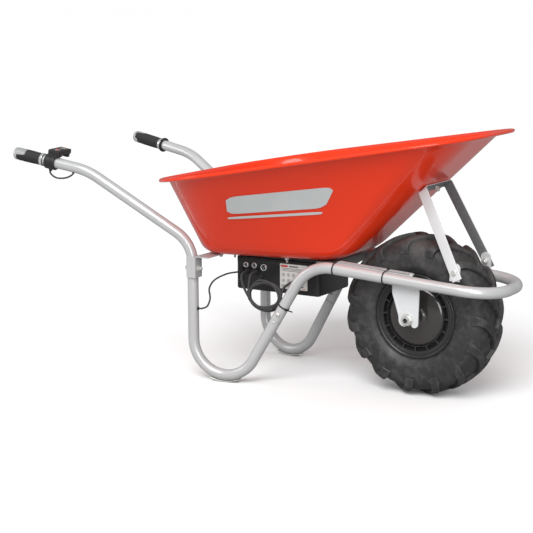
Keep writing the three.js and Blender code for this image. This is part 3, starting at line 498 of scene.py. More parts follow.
@dataclass
class Effects:
    """The shader node groups that several finishes share, each built once."""

    made: dict[str, bpy.types.NodeTree] = field(default_factory=dict)

    def _new(self, name: str, inputs: list[tuple], outputs: list[tuple]) -> tuple:
        """A new group with named sockets.

        Args:
            name: The group's name.
            inputs: Name, socket kind and first value of each input.
            outputs: Name and socket kind of each output.

        Returns:
            The node sheet, the group's input node and its output node.
        """
        tree = bpy.data.node_groups.new(name, "ShaderNodeTree")
        for label, kind, value in inputs:
            socket = tree.interface.new_socket(name=label, in_out="INPUT", socket_type=kind)
            socket.default_value = value
        for label, kind in outputs:
            tree.interface.new_socket(name=label, in_out="OUTPUT", socket_type=kind)
        sheet = NodeSheet(tree)
        self.made[name] = tree
        return sheet, sheet.add("NodeGroupInput"), sheet.add("NodeGroupOutput")

    def grain(self) -> bpy.types.NodeTree:
        """Surface grain: a fine height, and slow patches from 0 to 1 for colour and gloss."""
        if "surface_grain" in self.made:
            return self.made["surface_grain"]
        numbers = [("Fine Scale", "NodeSocketFloat", 900.0), ("Patch Scale", "NodeSocketFloat", 14.0)]
        sheet, given, result = self._new(
            "surface_grain", numbers, [("Height", "NodeSocketFloat"), ("Patch", "NodeSocketFloat")]
        )
        where = sheet.add("ShaderNodeTexCoord").outputs["Object"]
        fine = sheet.noise(given.outputs["Fine Scale"], 3.0, where)
        sheet.join(fine, result.inputs["Height"])
        sheet.join(sheet.noise(given.outputs["Patch Scale"], 5.0, where), result.inputs["Patch"])
        return self.made["surface_grain"]

    def wear(self) -> bpy.types.NodeTree:
        """Edge wear: the outer edges change colour where a broken-up pattern lets them."""
        if "edge_wear" in self.made:
            return self.made["edge_wear"]
        numbers = [
            ("Color", "NodeSocketColor", (0.5, 0.5, 0.5, 1)),
            ("Worn Color", "NodeSocketColor", (0.8, 0.8, 0.8, 1)),
            ("Amount", "NodeSocketFloat", 0.3),
        ]
        sheet, given, result = self._new(
            "edge_wear", numbers, [("Color", "NodeSocketColor"), ("Mask", "NodeSocketFloat")]
        )
        point = sheet.add("ShaderNodeNewGeometry").outputs["Pointiness"]
        ridge = sheet.math("MULTIPLY", sheet.math("SUBTRACT", point, 0.53), 9.0)
        ridge.node.use_clamp = True
        where = sheet.add("ShaderNodeTexCoord").outputs["Object"]
        broken = sheet.math("MULTIPLY", ridge, sheet.noise(120.0, 4.0, where))
        mask = sheet.math("MULTIPLY", broken, given.outputs["Amount"])
        sheet.join(sheet.mix(mask, given.outputs["Color"], given.outputs["Worn Color"]), result.inputs["Color"])
        sheet.join(mask, result.inputs["Mask"])
        return self.made["edge_wear"]

    def dust(self) -> bpy.types.NodeTree:
        """Settled dust: faces that look up get a little of a pale colour, in patches."""
        if "settled_dust" in self.made:
            return self.made["settled_dust"]
        numbers = [
            ("Color", "NodeSocketColor", (0.5, 0.5, 0.5, 1)),
            ("Dust Color", "NodeSocketColor", (0.55, 0.53, 0.5, 1)),
            ("Amount", "NodeSocketFloat", 0.1),
        ]
        sheet, given, result = self._new(
            "settled_dust", numbers, [("Color", "NodeSocketColor"), ("Mask", "NodeSocketFloat")]
        )
        split = sheet.add("ShaderNodeSeparateXYZ")
        sheet.join(sheet.add("ShaderNodeNewGeometry").outputs["Normal"], split.inputs[0])
        level = sheet.math("POWER", sheet.math("MAXIMUM", split.outputs[2], 0.0), 3.0)
        where = sheet.add("ShaderNodeTexCoord").outputs["Object"]
        patchy = sheet.math("MULTIPLY", level, sheet.noise(26.0, 6.0, where))
        mask = sheet.math("MULTIPLY", patchy, given.outputs["Amount"])
        sheet.join(sheet.mix(mask, given.outputs["Color"], given.outputs["Dust Color"]), result.inputs["Color"])
        sheet.join(mask, result.inputs["Mask"])
        return self.made["settled_dust"]


EFFECTS = Effects()


@dataclass(frozen=True)
class Finish:
    """A surface finish with its own colour, gloss, grain, wear and dust.

    Attributes:
        name: The finish's name.
        color: Its colour, in linear light.
        rough: Its roughness.
        metal: Its metalness.
        coat: How much clear coat it has.
        coat_rough: The coat's roughness.
        fine: The scale of its finest grain.
        bump: How high that grain stands, in millimetres.
        patch: The scale of its slow patches.
        shade: How much the patches darken the colour.
        spread: How much the patches change the roughness.
        worn: The colour of its worn edges.
        wear: How worn its edges are.
        dust: How much dust it holds.
        ior: How strongly a non-metal reflects.
    """

    name: str
    color: tuple[float, float, float]
    rough: float = 0.4
    metal: float = 0.0
    coat: float = 0.0
    coat_rough: float = 0.08
    fine: float = 900.0
    bump: float = 0.05
    patch: float = 14.0
    shade: float = 0.12
    spread: float = 0.1
    worn: tuple[float, float, float] = (0.7, 0.7, 0.7)
    wear: float = 0.2
    dust: float = 0.05
    ior: float = 1.5

    def material(self) -> bpy.types.Material:
        """The finish's material, built the first time that it is asked for."""
        ready = bpy.data.materials.get(self.name)
        if ready is not None:
            return ready
        made = bpy.data.materials.new(self.name)
        made.use_nodes = True
        sheet = NodeSheet(made.node_tree)
        shader = made.node_tree.nodes["Principled BSDF"]
        grain = self.group(sheet, EFFECTS.grain(), {"Fine Scale": self.fine, "Patch Scale": self.patch})
        patch = grain.outputs["Patch"]
        low = (*[channel * (1 - self.shade) for channel in self.color], 1)
        high = (*[min(1.0, channel * (1 + 0.4 * self.shade)) for channel in self.color], 1)
        base = sheet.mix(patch, low, high)
        base = self.detail(sheet, base)
        wear = self.group(sheet, EFFECTS.wear(), {"Worn Color": (*self.worn, 1), "Amount": self.wear})
        sheet.join(base, wear.inputs["Color"])
        dust = self.group(sheet, EFFECTS.dust(), {"Amount": self.dust})
        sheet.join(wear.outputs["Color"], dust.inputs["Color"])
        sheet.join(dust.outputs["Color"], shader.inputs["Base Color"])
        swing = sheet.math("MULTIPLY", sheet.math("SUBTRACT", patch, 0.5), self.spread)
        gloss = sheet.math("ADD", sheet.math("ADD", swing, self.rough), dust.outputs["Mask"])
        gloss.node.use_clamp = True
        sheet.join(gloss, shader.inputs["Roughness"])
        shader.inputs["Metallic"].default_value = self.metal
        shader.inputs["IOR"].default_value = self.ior
        shader.inputs["Coat Weight"].default_value = self.coat
        shader.inputs["Coat Roughness"].default_value = self.coat_rough
        bump = sheet.add("ShaderNodeBump")
        bump.inputs["Strength"].default_value = 1.0
        bump.inputs["Distance"].default_value = self.bump * MM
        sheet.join(self.relief(sheet, grain.outputs["Height"]), bump.inputs["Height"])
        sheet.join(bump.outputs["Normal"], shader.inputs["Normal"])
        return made

    def group(self, sheet: NodeSheet, tree: bpy.types.NodeTree, values: dict[str, object]) -> bpy.types.Node:
        """Places a shared group in a material with this finish's own values."""
        node = sheet.add("ShaderNodeGroup")
        node.node_tree = tree
        for name, value in values.items():
            node.inputs[name].default_value = value
        return node

    def detail(self, sheet: NodeSheet, base: bpy.types.NodeSocket) -> bpy.types.NodeSocket:
        """The base colour with what only this kind of finish shows; a plain finish adds nothing."""
        return base

    def relief(self, sheet: NodeSheet, height: bpy.types.NodeSocket) -> bpy.types.NodeSocket:
        """The bump height with what only this kind of finish shows; a plain finish adds nothing."""
        return height


@dataclass(frozen=True)
class FleckPaint(Finish):
    """A silver coating with fine bright flecks in it."""

    def detail(self, sheet: NodeSheet, base: bpy.types.NodeSocket) -> bpy.types.NodeSocket:
        """Small cells, each a little lighter or darker than the paint."""
        cells = sheet.add("ShaderNodeTexVoronoi")
        cells.inputs["Scale"].default_value = 1400.0
        sheet.join(sheet.add("ShaderNodeTexCoord").outputs["Object"], cells.inputs["Vector"])
        split = sheet.add("ShaderNodeSeparateColor")
        sheet.join(cells.outputs["Color"], split.inputs[0])
        share = sheet.math("MULTIPLY", split.outputs[0], 0.16)
        return sheet.mix(share, base, (0.9, 0.91, 0.92, 1))


@dataclass(frozen=True)
class TreadRubber(Finish):
    """Dusty tyre rubber with cloudy pale smears and small scuffs."""

    def detail(self, sheet: NodeSheet, base: bpy.types.NodeSocket) -> bpy.types.NodeSocket:
        """Two sizes of cloud, each sharpened round its middle value, blended towards pale grey."""
        where = sheet.add("ShaderNodeTexCoord").outputs["Object"]
        for scale, weight in ((13.0, 0.34), (70.0, 0.22)):
            cloud = sheet.math("MULTIPLY", sheet.math("SUBTRACT", sheet.noise(scale, 6.0, where), 0.47), 5.0)
            cloud.node.use_clamp = True
            base = sheet.mix(sheet.math("MULTIPLY", cloud, weight), base, (0.125, 0.122, 0.118, 1))
        return base


@dataclass(frozen=True)
class MouldedPlastic(Finish):
    """Moulded plastic with a leathery spark-eroded grain."""

    def relief(self, sheet: NodeSheet, height: bpy.types.NodeSocket) -> bpy.types.NodeSocket:
        """Pits between the edges of small cells, added to the fine grain."""
        cells = sheet.add("ShaderNodeTexVoronoi", feature="SMOOTH_F1")
        cells.inputs["Scale"].default_value = 700.0
        sheet.join(sheet.add("ShaderNodeTexCoord").outputs["Object"], cells.inputs["Vector"])
        return sheet.math("ADD", height, cells.outputs["Distance"])


@dataclass(frozen=True)
class BrushedMetal(Finish):
    """Plated or turned metal with fine lines left by the tool."""

    def relief(self, sheet: NodeSheet, height: bpy.types.NodeSocket) -> bpy.types.NodeSocket:
        """Noise stretched a long way in one direction, added to the fine grain."""
        stretch = sheet.add("ShaderNodeMapping")
        stretch.inputs["Scale"].default_value = (60.0, 60.0, 1600.0)
        sheet.join(sheet.add("ShaderNodeTexCoord").outputs["Object"], stretch.inputs["Vector"])
        return sheet.math("ADD", height, sheet.noise(1.0, 3.0, stretch.outputs[0]))


@dataclass(frozen=True)
class FloorPaper(Finish):
    """White paper that throws less light back onto the barrow than it shows."""

    def detail(self, sheet: NodeSheet, base: bpy.types.NodeSocket) -> bpy.types.NodeSocket:
        """A middle grey for every ray but those seen straight on."""
        seen = sheet.add("ShaderNodeLightPath").outputs["Is Camera Ray"]
        return sheet.mix(seen, (0.34, 0.34, 0.34, 1), base)


SILVER = FleckPaint(
    "satin_silver_coating", (0.56, 0.565, 0.57), 0.3, 0.3, coat=0.25, coat_rough=0.18, fine=700, bump=0.04
)
PALE = FleckPaint("pale_silver_coating", (0.72, 0.73, 0.74), 0.36, 0.2, coat=0.2, coat_rough=0.2, fine=600)
# Dark grey: the front channel's own paint, and painted shade on the strut bar's inner faces.
DARK_PAINT_AND_PAINTED_SHADE = FleckPaint("dark_grey_coating", (0.10, 0.105, 0.11), 0.42, 0.2, worn=(0.4, 0.4, 0.4))
RED = Finish(
    "orange_red_coating",
    (0.86, 0.036, 0.002),
    0.3,
    coat=0.6,
    coat_rough=0.07,
    fine=160,
    bump=0.05,
    patch=6,
    shade=0.05,
    spread=0.05,
    worn=(0.9, 0.16, 0.08),
    wear=0.35,
    dust=0.01,
    ior=1.36,
)
DECAL = Finish("grey_stripe_film", (0.60, 0.63, 0.63), 0.35, coat=0.5, bump=0.01, wear=0.0, dust=0.0)
ZINC = BrushedMetal("bright_zinc_plate", (0.76, 0.76, 0.73), 0.28, 0.6, shade=0.2, spread=0.2, bump=0.03)
STEEL = BrushedMetal("polished_steel", (0.70, 0.71, 0.72), 0.22, 0.6, bump=0.02, shade=0.15)
CHROME = Finish("chrome_ring", (0.84, 0.85, 0.86), 0.1, 0.7, bump=0.01, shade=0.05)
BOX_BLACK = MouldedPlastic("black_moulded_plastic", (0.016, 0.016, 0.017), 0.38, bump=0.09, worn=(0.1, 0.1, 0.1))
LID_BLACK = MouldedPlastic("black_lid_plastic", (0.012, 0.012, 0.013), 0.25, bump=0.04, worn=(0.1, 0.1, 0.1))
CONTROL_BLACK = MouldedPlastic("black_control_plastic", (0.018, 0.018, 0.019), 0.42, bump=0.06, worn=(0.12,) * 3)
GRIP_RUBBER = Finish("soft_grip_rubber", (0.018, 0.018, 0.018), 0.7, fine=1100, bump=0.15, worn=(0.1, 0.1, 0.1))
BOOT_RUBBER = Finish("boot_rubber", (0.015, 0.015, 0.015), 0.55, fine=900, bump=0.06, worn=(0.08, 0.08, 0.08))
SHEATH = Finish("cable_sheath", (0.012, 0.012, 0.012), 0.42, fine=1200, bump=0.04, wear=0.0)
NYLON = Finish("black_nylon_tie", (0.01, 0.01, 0.01), 0.35, fine=1000, bump=0.02, wear=0.0)
TYRE_RUBBER = TreadRubber(
    "tread_rubber",
    (0.030, 0.030, 0.031),
    0.55,
    fine=420,
    bump=0.3,
    patch=11,
    shade=0.6,
    spread=0.5,
    worn=(0.16, 0.155, 0.15),
    wear=0.9,
    dust=0.1,
)
RIM_BLACK = Finish("semi_gloss_rim_coating", (0.020, 0.020, 0.021), 0.36, coat=0.3, bump=0.06, worn=(0.2,) * 3)
DOME_BLACK = Finish("glossy_cover_coating", (0.034, 0.031, 0.030), 0.2, coat=0.8, coat_rough=0.1, bump=0.05, shade=0.3)
# Near-black painted shade for the depths of the rim's pockets.
POCKET_PAINTED_SHADE = Finish("rim_pocket_shade", (0.004, 0.004, 0.004), 0.7, wear=0.0, dust=0.0)
PAPER = Finish("rating_label_film", (0.62, 0.62, 0.60), 0.45, bump=0.01, wear=0.0)
INK = Finish("dark_label_ink", (0.10, 0.10, 0.105), 0.5, bump=0.01, wear=0.0)
RED_INK = Finish("red_label_ink", (0.55, 0.04, 0.03), 0.5, bump=0.01, wear=0.0)
LENS = Finish("dark_gauge_lens", (0.02, 0.02, 0.022), 0.08, coat=1.0, bump=0.005, wear=0.0)
LAMP = Finish("amber_gauge_light", (0.8, 0.25, 0.03), 0.3, bump=0.005, wear=0.0)
BUTTON_RED = Finish("red_button", (0.45, 0.012, 0.008), 0.3, coat=0.6, bump=0.02, worn=(0.6, 0.1, 0.08))
CELL_WRAP = Finish("battery_wrap", (0.02, 0.07, 0.15), 0.35, fine=300, bump=0.2)
CAST_ALLOY = Finish("cast_alloy_case", (0.45, 0.46, 0.47), 0.4, 0.8, fine=500, bump=0.1)
WINDING = BrushedMetal("copper_winding", (0.45, 0.17, 0.06), 0.35, 0.8, bump=0.3)


# ---------------------------------------------------------------- fasteners


def hexagon(radius: float, steps: int = 6) -> tuple[Array, Array]:
    """A hexagon's outline with its sides divided.

    Its radius at an angle is its inner radius over the cosine of the angle from the nearest flat's middle.

    Args:
        radius: The radius at the corners.
        steps: How many places each side has.

    Returns:
        The radius at each place, and its angle.
    """
    angle = full_turn(6 * steps)
    from_flat = np.mod(angle, math.pi / 3) - math.pi / 6
    return radius * math.cos(math.pi / 6) / np.cos(from_flat), angle


def hex_block(radius: float, low: float, high: float, chamfer_low: bool, chamfer_high: bool) -> Array:
    """A hexagonal nut or head whose ends are turned to a cone, so its corners fall away.

    The level at each place drops by half of how far its radius passes the inner circle.

    Args:
        radius: The radius at the corners.
        low: The lower face's height.
        high: The upper face's height.
        chamfer_low: Whether the lower end is turned.
        chamfer_high: Whether the upper end is turned.

    Returns:
        A grid of places round the z axis.
    """
    outer, angle = hexagon(radius)
    inner = radius * math.cos(math.pi / 6) * 0.96
    drop = (outer - inner) * 0.5
    zero = np.zeros_like(outer)
    rows = [
        (np.minimum(outer, inner) if chamfer_low else outer, zero + low),
        (outer, low + (drop if chamfer_low else zero + 0.01)),
        (outer, high - (drop if chamfer_high else zero + 0.01)),
        (np.minimum(outer, inner) if chamfer_high else outer, zero + high),
    ]
    return np.stack([np.stack([r * np.cos(angle), r * np.sin(angle), level], axis=-1) for r, level in rows])


def thread(radius: float, low: float, high: float, pitch: float = 1.25) -> Array:
    """A threaded stub: a turned profile that zigzags by half the pitch, with a broken end."""
    turns = max(2, int(abs(high - low) / (pitch / 2)))
    level = np.linspace(low, high - 0.8 * np.sign(high - low), turns)
    zigzag = radius - np.where(np.arange(turns) % 2 == 0, 0.0, 0.45 * pitch * 0.6)
    profile = np.stack([zigzag, level], axis=-1)
    end = np.array([[radius - 1.0, high], [0.0, high]])
    return revolved(np.vstack([profile, end]), 24)


def add_bolt(
    shell: Shell,
    place: Place,
    grip: float,
    radius: float,
    shank: float = 4.0,
    head: float = 5.0,
    nut: float = 6.0,
    tail: float = 4.0,
    domed: bool = False,
) -> Shell:
    """Adds a bolt with its head, washers, nut and threaded tail.

    Args:
        shell: The shell to add to.
        place: Where the head's underside is, with z towards the nut.
        grip: The distance from the head to the nut.
        radius: The corner radius of the head and the nut.
        shank: The bolt's radius.
        head: The head's height.
        nut: The nut's height.
        tail: How far the thread stands past the nut.
        domed: Whether the head is a smooth dome.

    Returns:
        The same shell.
    """
    if domed:
        arc = np.linspace(0, math.pi / 2, 9)
        profile = np.stack([radius * np.sin(arc), -head * np.cos(arc)], axis=-1)
        shell.grid(place.put(revolved(np.vstack([profile, [[0, 0]]]), 32)))
    else:
        shell.grid(place.put(hex_block(radius * 0.98, -head, -0.9, True, False)), capped=True)
        washer = rounded_profile([(0, -1.0), (radius * 1.0, -1.0), (radius * 1.0, 0), (0, 0)], 0.3)
        shell.grid(place.put(revolved(washer, 36)))
    shell.grid(place.put(revolved(np.array([[0, -0.5], [shank, -0.5], [shank, grip + 1], [0, grip + 1]]), 24)))
    washer = rounded_profile([(0, grip), (radius * 1.0, grip), (radius * 1.0, grip + 1.1), (0, grip + 1.1)], 0.3)
    shell.grid(place.put(revolved(washer, 36)))
    shell.grid(place.put(hex_block(radius * 0.97, grip + 1.0, grip + nut, False, True)), capped=True)
    shell.grid(place.put(thread(shank, grip + nut - 0.5, grip + nut + tail)))
    return shell


# ---------------------------------------------------------------- sizes of the tube frame

TUBE = 14.0
GRIP_END = vector(-1064, -262.2, 562.6)
HANDLE_BEND = vector(-849.6, -233.4, 525.4)
HANDLE_AXIS = unit(HANDLE_BEND - GRIP_END)
LEG_TOP = vector(-567.5, -174.5, 351)
TOE_IN = 0.152
LEG_AHEAD = vector(math.cos(TOE_IN), math.sin(TOE_IN), 0)
LEG_SIDE = vector(-math.sin(TOE_IN), math.cos(TOE_IN), 0)
FOOT_BEND = 88.0
FOOT_UP = FOOT_BEND + TUBE + GAP + 2.5
RISE = 1.042
RISE_AXIS = LEG_AHEAD * math.cos(RISE) + UP * math.sin(RISE)
FOOT_CENTRE = (LEG_TOP + LEG_AHEAD * FOOT_BEND) * vector(1, 1, 0) + UP * FOOT_UP
RISE_START = FOOT_CENTRE + LEG_AHEAD * FOOT_BEND * math.sin(RISE) - UP * FOOT_BEND * math.cos(RISE)


def on_rise(x: float) -> Array:
    """The place on the rising part of the right tube at a distance ahead of the axle."""
    return RISE_START + RISE_AXIS * (x - RISE_START[0]) / RISE_AXIS[0]


SEAM = on_rise(-342)
FOOT_CORNER = RISE_START - RISE_AXIS * FOOT_BEND * (1 + math.sin(RISE)) / math.cos(RISE)
LOOP_REAR = on_rise(-257)
LOOP_FRONT = vector(228, -104, 281)
LOOP_AXIS = unit(LOOP_FRONT - LOOP_REAR)
OTHER_SIDE = vector(1, -1, 1)
TRAY_FLOOR = 321.6
HANDLE_HOLE = 178.0
LEG_HOLE_UP = 184.0
HOUSING_START = 98.0
GAUGE_START = 104.0
BUTTON_AT = (17.0, 8.0, 0.0)
SLEEVE_BORE = 14.4
BOOTS = ((-481, 273), (-462, 274), (-436, 274))


def on_handle(distance: float) -> Array:
    """The place on the right handle's axis at a distance from its rear end."""
    return GRIP_END + HANDLE_AXIS * distance


def grip_place(distance: float) -> Place:
    """The right grip's own axes at a distance from its rear end: x along it, y inwards, z up."""
    inward = unit(LEFT - HANDLE_AXIS * HANDLE_AXIS[1])
    return Place(on_handle(distance), HANDLE_AXIS, inward, np.cross(HANDLE_AXIS, inward))


def loop_place() -> Place:
    """The right loop tube's own axes above the axle: x along it, y inwards, z up."""
    inward = unit(LEFT - LOOP_AXIS * LOOP_AXIS[1])
    start = LOOP_REAR - LOOP_AXIS * LOOP_REAR[0] / LOOP_AXIS[0]
    return Place(start, LOOP_AXIS, inward, np.cross(LOOP_AXIS, inward))


# ---------------------------------------------------------------- stage


@dataclass
class Studio:
    """A white studio with soft lights and one camera.

    Attributes:
        stand: Where the camera is, in metres.
        target: What it looks at.
        lens: Its focal length in millimetres.
        shift: Its sideways and upwards shift.
        sky: How bright the sky is as a light.
        mirrored_sky: How bright the sky is in reflections.
        key: How strong the key light is.
    """

    stand: tuple[float, float, float] = (1.9545, -3.2352, 0.9821)
    target: tuple[float, float, float] = (0.11235, 0.0, 0.300)
    lens: float = 100.3
    shift: tuple[float, float] = (-0.0976, -0.0090)
    sky: float = 0.6
    mirrored_sky: float = 0.22
    key: float = 2.3

    def camera(self) -> None:
        """Sets the camera up and makes it the scene's own."""
        lens = bpy.data.cameras.new("studio_camera")
        lens.lens, lens.sensor_width = self.lens, FULL_FRAME
        lens.shift_x, lens.shift_y = self.shift
        lens.clip_end = 200.0
        eye = linked("studio_camera", lens)
        gaze = unit(vector(*self.target) - vector(*self.stand))
        right = unit(np.cross(gaze, UP))
        over = np.cross(right, gaze)
        turn = np.eye(4)
        turn[:3, 0], turn[:3, 1], turn[:3, 2], turn[:3, 3] = right, over, -gaze, self.stand
        eye.matrix_world = Matrix(turn.tolist())
        bpy.context.scene.camera = eye

    def light(self, name: str, at: Array, aim: Array, size: tuple[float, float], power: float) -> None:
        """Adds one soft rectangular light.

        Args:
            name: The light's name.
            at: Where it hangs, in metres.
            aim: What it faces.
            size: Its width and height.
            power: Its power in watts.
        """
        lamp = bpy.data.lights.new(name, "AREA")
        lamp.shape, lamp.size, lamp.size_y, lamp.energy = "RECTANGLE", size[0], size[1], power
        thing = linked(name, lamp)
        back = unit(at - aim)
        right = unit(np.cross(UP + vector(1e-4, 0, 0), back))
        turn = np.eye(4)
        turn[:3, 0], turn[:3, 1], turn[:3, 2], turn[:3, 3] = right, np.cross(back, right), back, at
        thing.matrix_world = Matrix(turn.tolist())

    def build(self) -> None:
        """Builds the camera, the floor, the sky and the lights."""
        self.camera()
        scene = bpy.context.scene
        scene.view_settings.view_transform = "Standard"
        world = bpy.data.worlds.new("white_studio")
        world.use_nodes = True
        sky = world.node_tree.nodes["Background"]
        sheet = NodeSheet(world.node_tree)
        path = sheet.add("ShaderNodeLightPath")
        soft = sheet.mix(path.outputs["Is Glossy Ray"], (*[self.sky] * 3, 1), (*[self.mirrored_sky] * 3, 1))
        sheet.join(sheet.mix(path.outputs["Is Camera Ray"], soft, (1, 1, 1, 1)), sky.inputs["Color"])
        scene.world = world
        floor = bpy.data.meshes.new("studio_floor")
        edge = np.linspace(-FLOOR_REACH, FLOOR_REACH, 9)
        x, y = np.meshgrid(edge, edge, indexing="ij")
        places = np.stack([x, y, np.full_like(x, -FLOOR_DROP)], axis=-1)
        r, c = np.meshgrid(np.arange(8), np.arange(8), indexing="ij")
        quads = np.stack([r * 9 + c, (r + 1) * 9 + c, (r + 1) * 9 + c + 1, r * 9 + c + 1], axis=-1)
        floor.from_pydata(places.reshape(-1, 3).tolist(), [], quads.reshape(-1, 4).tolist())
        paper = FloorPaper("white_floor", (0.97, 0.97, 0.97), 0.8, fine=200, bump=0.01, shade=0.0, wear=0, dust=0)
        floor.materials.append(paper.material())
        linked("studio_floor", floor)
        middle = vector(0.1, 0, 0.35)
        self.light("front_soft", vector(2.4, -2.8, 1.3), middle, (1.0, 2.2), 40.0)
        self.light("rear_soft", vector(-2.8, -1.8, 1.6), middle, (0.8, 1.8), 14.0)
        key = bpy.data.lights.new("key", "SUN")
        key.energy, key.angle = self.key, math.radians(38)
        lamp = linked("key", key)
        lamp.rotation_euler = (math.radians(44), math.radians(12), 0)


# ---------------------------------------------------------------- cables


@dataclass
class Cables:
    """The free cables, their ties and the sleeve that joins two of them.

    Attributes:
        coil: The middle of the loose coil.
        wide: Half the coil's width along the barrow.
        high: Half its height.
    """

    coil: Array = field(default_factory=lambda: vector(-390, -118, 224))
    wide: float = 44.0
    high: float = 33.5

    def cord(
        self, name: str, route: Array, diameter: float, stands_for: tuple[str, ...], **facts: object
    ) -> bpy.types.Object:
        """Args:
            name: The cable's name.
            route: The places that it passes, in millimetres.
            diameter: Its diameter in millimetres.
            stands_for: The model's nodes that it replaces.

        Returns:
            The curve object.
        """
        places = (route + vector(WHEEL_AHEAD, 0, 0)) * MM
        curve = bpy.data.curves.new(name, "CURVE")
        curve.dimensions = "3D"
        curve.bevel_depth = diameter * MM / 2
        curve.bevel_resolution = 4
        curve.use_fill_caps = True
        line = curve.splines.new("POLY")
        line.points.add(len(places) - 1)
        line.points.foreach_set("co", np.hstack([places, np.ones((len(places), 1))]).ravel())
        line.use_smooth = True
        curve.materials.append(SHEATH.material())
        thing = linked(name, curve)
        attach(thing, Body.FRAME.value)
        if stands_for:
            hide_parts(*stands_for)
        return thing

    def turns(self, start: float, end: float, out: Array, beside: Array, lift: Array) -> Array:
        """Places round the coil: the middle plus each half size times the cosine or sine of the angle.

        Args:
            start: The angle at which the turns start.
            end: The angle at which they end.
            out: How much further out than the coil's middle line each strand lies, from start to end.
            beside: How far to the side it lies, from start to end.
            lift: How far up it lies, from start to end.

        Returns:
            The places, one row each.
        """
        count = max(4, int(abs(end - start) / 0.45))
        angle = np.linspace(start, end, count)
        share = np.linspace(0, 1, count)
        extra = np.interp(share, np.linspace(0, 1, len(out)), out)
        side = np.interp(share, np.linspace(0, 1, len(beside)), beside)
        up = np.interp(share, np.linspace(0, 1, len(lift)), lift)
        return np.stack(
            [
                self.coil[0] + (self.wide + extra) * np.cos(angle),
                self.coil[1] + side,
                self.coil[2] + up + (self.high + extra) * np.sin(angle),
            ],
            axis=-1,
        )

    def tie(self, name: str, centre: Array, axis: Array, radius: float, head_at: float, tail: float) -> None:
        """A cable tie: a flat band round a tube, a small locking head and a cut tail.

        Args:
            name: The tie's name.
            centre: The middle of the band.
            axis: The tube's direction.
            radius: The band's inner radius.
            head_at: The angle of the head, from the band's upper side.
            tail: How long the tail is.
        """
        place = Place.along(centre, axis)
        outline = rounded_profile([(radius, -1.7), (radius + 1.3, -1.7), (radius + 1.3, 1.7), (radius, 1.7)], 0.4)
        shell = Shell().grid(place.put(revolved(outline, 48)), wrap_rows=True)
        away = place.x * math.cos(head_at) + place.y * math.sin(head_at)
        round_way = np.cross(place.z, away)
        head = Place(centre + away * (radius + 0.4), round_way, place.z, away)
        shell.grid(head.put(slab(rounded_rectangle(5.4, 5.0, 0.8, 3), 0.0, 4.0, 0.5)), capped=True)
        strip = slab(rounded_rectangle(tail, 3.2, 0.5, 2) + np.array([tail / 2, 0]), 1.4, 2.5, 0.25)
        shell.grid(head.put(strip), capped=True)
        shell.piece(name, NYLON, "black_plastic")

    def loop_tie(self, name: str, ahead: float, cable: tuple[float, float]) -> None:
        """A tie round the loop tube, the rail beside it and the motor cable.

        Its band follows the smallest outline without hollows round the tube's circle, the rail's corner
        and the cable's circle: at each direction, the place that reaches furthest that way.

        Args:
            name: The tie's name.
            ahead: How far ahead of the axle it is.
            cable: The cable's place across the tube, inwards and up.
        """
        angle = full_turn(96)
        way = np.stack([np.cos(angle), np.sin(angle)], axis=-1)
        centres = np.array([[0.0, 0.0], [30.0, 15.6], [cable[0], cable[1]]])
        radii = np.array([TUBE + 0.2, 0.9, 3.6])
        reach = way @ centres.T + radii
        best = np.argmax(reach, axis=1)
        inner = centres[best] + way * radii[best][:, None]
        outer = inner + way * 1.3
        broken = outer - way * 0.3
        rows = [(inner, -1.6), (broken, -1.7), (outer, -1.3), (outer, 1.3), (broken, 1.7), (inner, 1.6)]
        grid = np.stack([np.concatenate([np.full((96, 1), x), line], axis=1) for line, x in rows])
        here = loop_place().at(ahead, 0, 0)
        shell = Shell().grid(here.put(grid), wrap_rows=True)
        head = here.at(0, 20.0, 16.8)
        shell.grid(head.put(slab(rounded_rectangle(5.0, 5.4, 0.8, 3), 0.0, 4.0, 0.5)), capped=True)
        shell.piece(name, NYLON, "black_plastic")

    def build(self) -> None:
        """Builds the throttle cable's two stretches, the motor and sensor cables, the sleeve and the ties."""
        outlet = grip_place(HOUSING_START).put(vector(13, 0, -20 - 5 - GAP))
        down = -grip_place(HOUSING_START).z
        entry = on_handle(HANDLE_HOLE) + vector(0, 0, -TUBE - 1)
        upper = np.array(
            [
                outlet,
                outlet + down * 4,
                outlet + vector(7, 1, -12),
                outlet + vector(22, 3, -17.5),
                entry + vector(-24, -3, -14),
                entry + vector(-8, 0, -7),
                entry,
            ]
        )
        self.cord(
            "throttle_cable_top",
            smooth_curve(upper, 6),
            4.6,
            ("throttle_cable_upper",),
            stiffness="limp",
            lay="hanging",
        )
        first, second, third = (vector(x, -95.6, z) for x, z in BOOTS)
        lower = np.array(
            [
                LEG_TOP * vector(1, 1, 0) + vector(TUBE + 1, 0, LEG_HOLE_UP),
                vector(-545, -170, 184),
                vector(-536, -158, 189),
                vector(-534, -148, 208),
                vector(-540, -142, 232),
                vector(-528, -134, 254),
                vector(-502, -118, 269),
                first + vector(-1, -8, 0),
                first,
            ]
        )
        self.cord(
            "throttle_cable_foot",
            smooth_curve(lower, 6),
            4.6,
            ("throttle_cable_lower",),
            stiffness="limp",
            lay="hanging",
        )
        drop = np.array(
            [
                second,
                second + vector(0, -9, -0.5),
                second + vector(2, -19, -8),
                second + vector(7, -24, -23),
                second + vector(15, -24, -40),
            ]
        )
        wound = self.turns(
            3.55,
            6 * math.pi - 0.1,
            vector(1.0, 6.0, -2.0, 1.0, 7.0, -2.0, 4.0, 1.0),
            vector(-2.0, 5.0, -5.0, 3.0, 5.0),
            vector(0.0, -5.0, 4.0, 5.0, -4.0, 0.0),
        )
        run = np.array(
            [
                vector(-339, -113, 243), vector(-325, -109, 258), vector(-301, -102, 270),
                vector(-270, -95, 283), vector(-235, -92, 292), vector(-186, -92.5, 297),
                vector(-115, -90, 291), vector(-52, -87.5, 283.5), vector(-27, -81, 264),
                vector(-10, -78.5, 238), vector(-1, -78.5, 217), vector(0, -78.5, 210.6),
            ]
        )
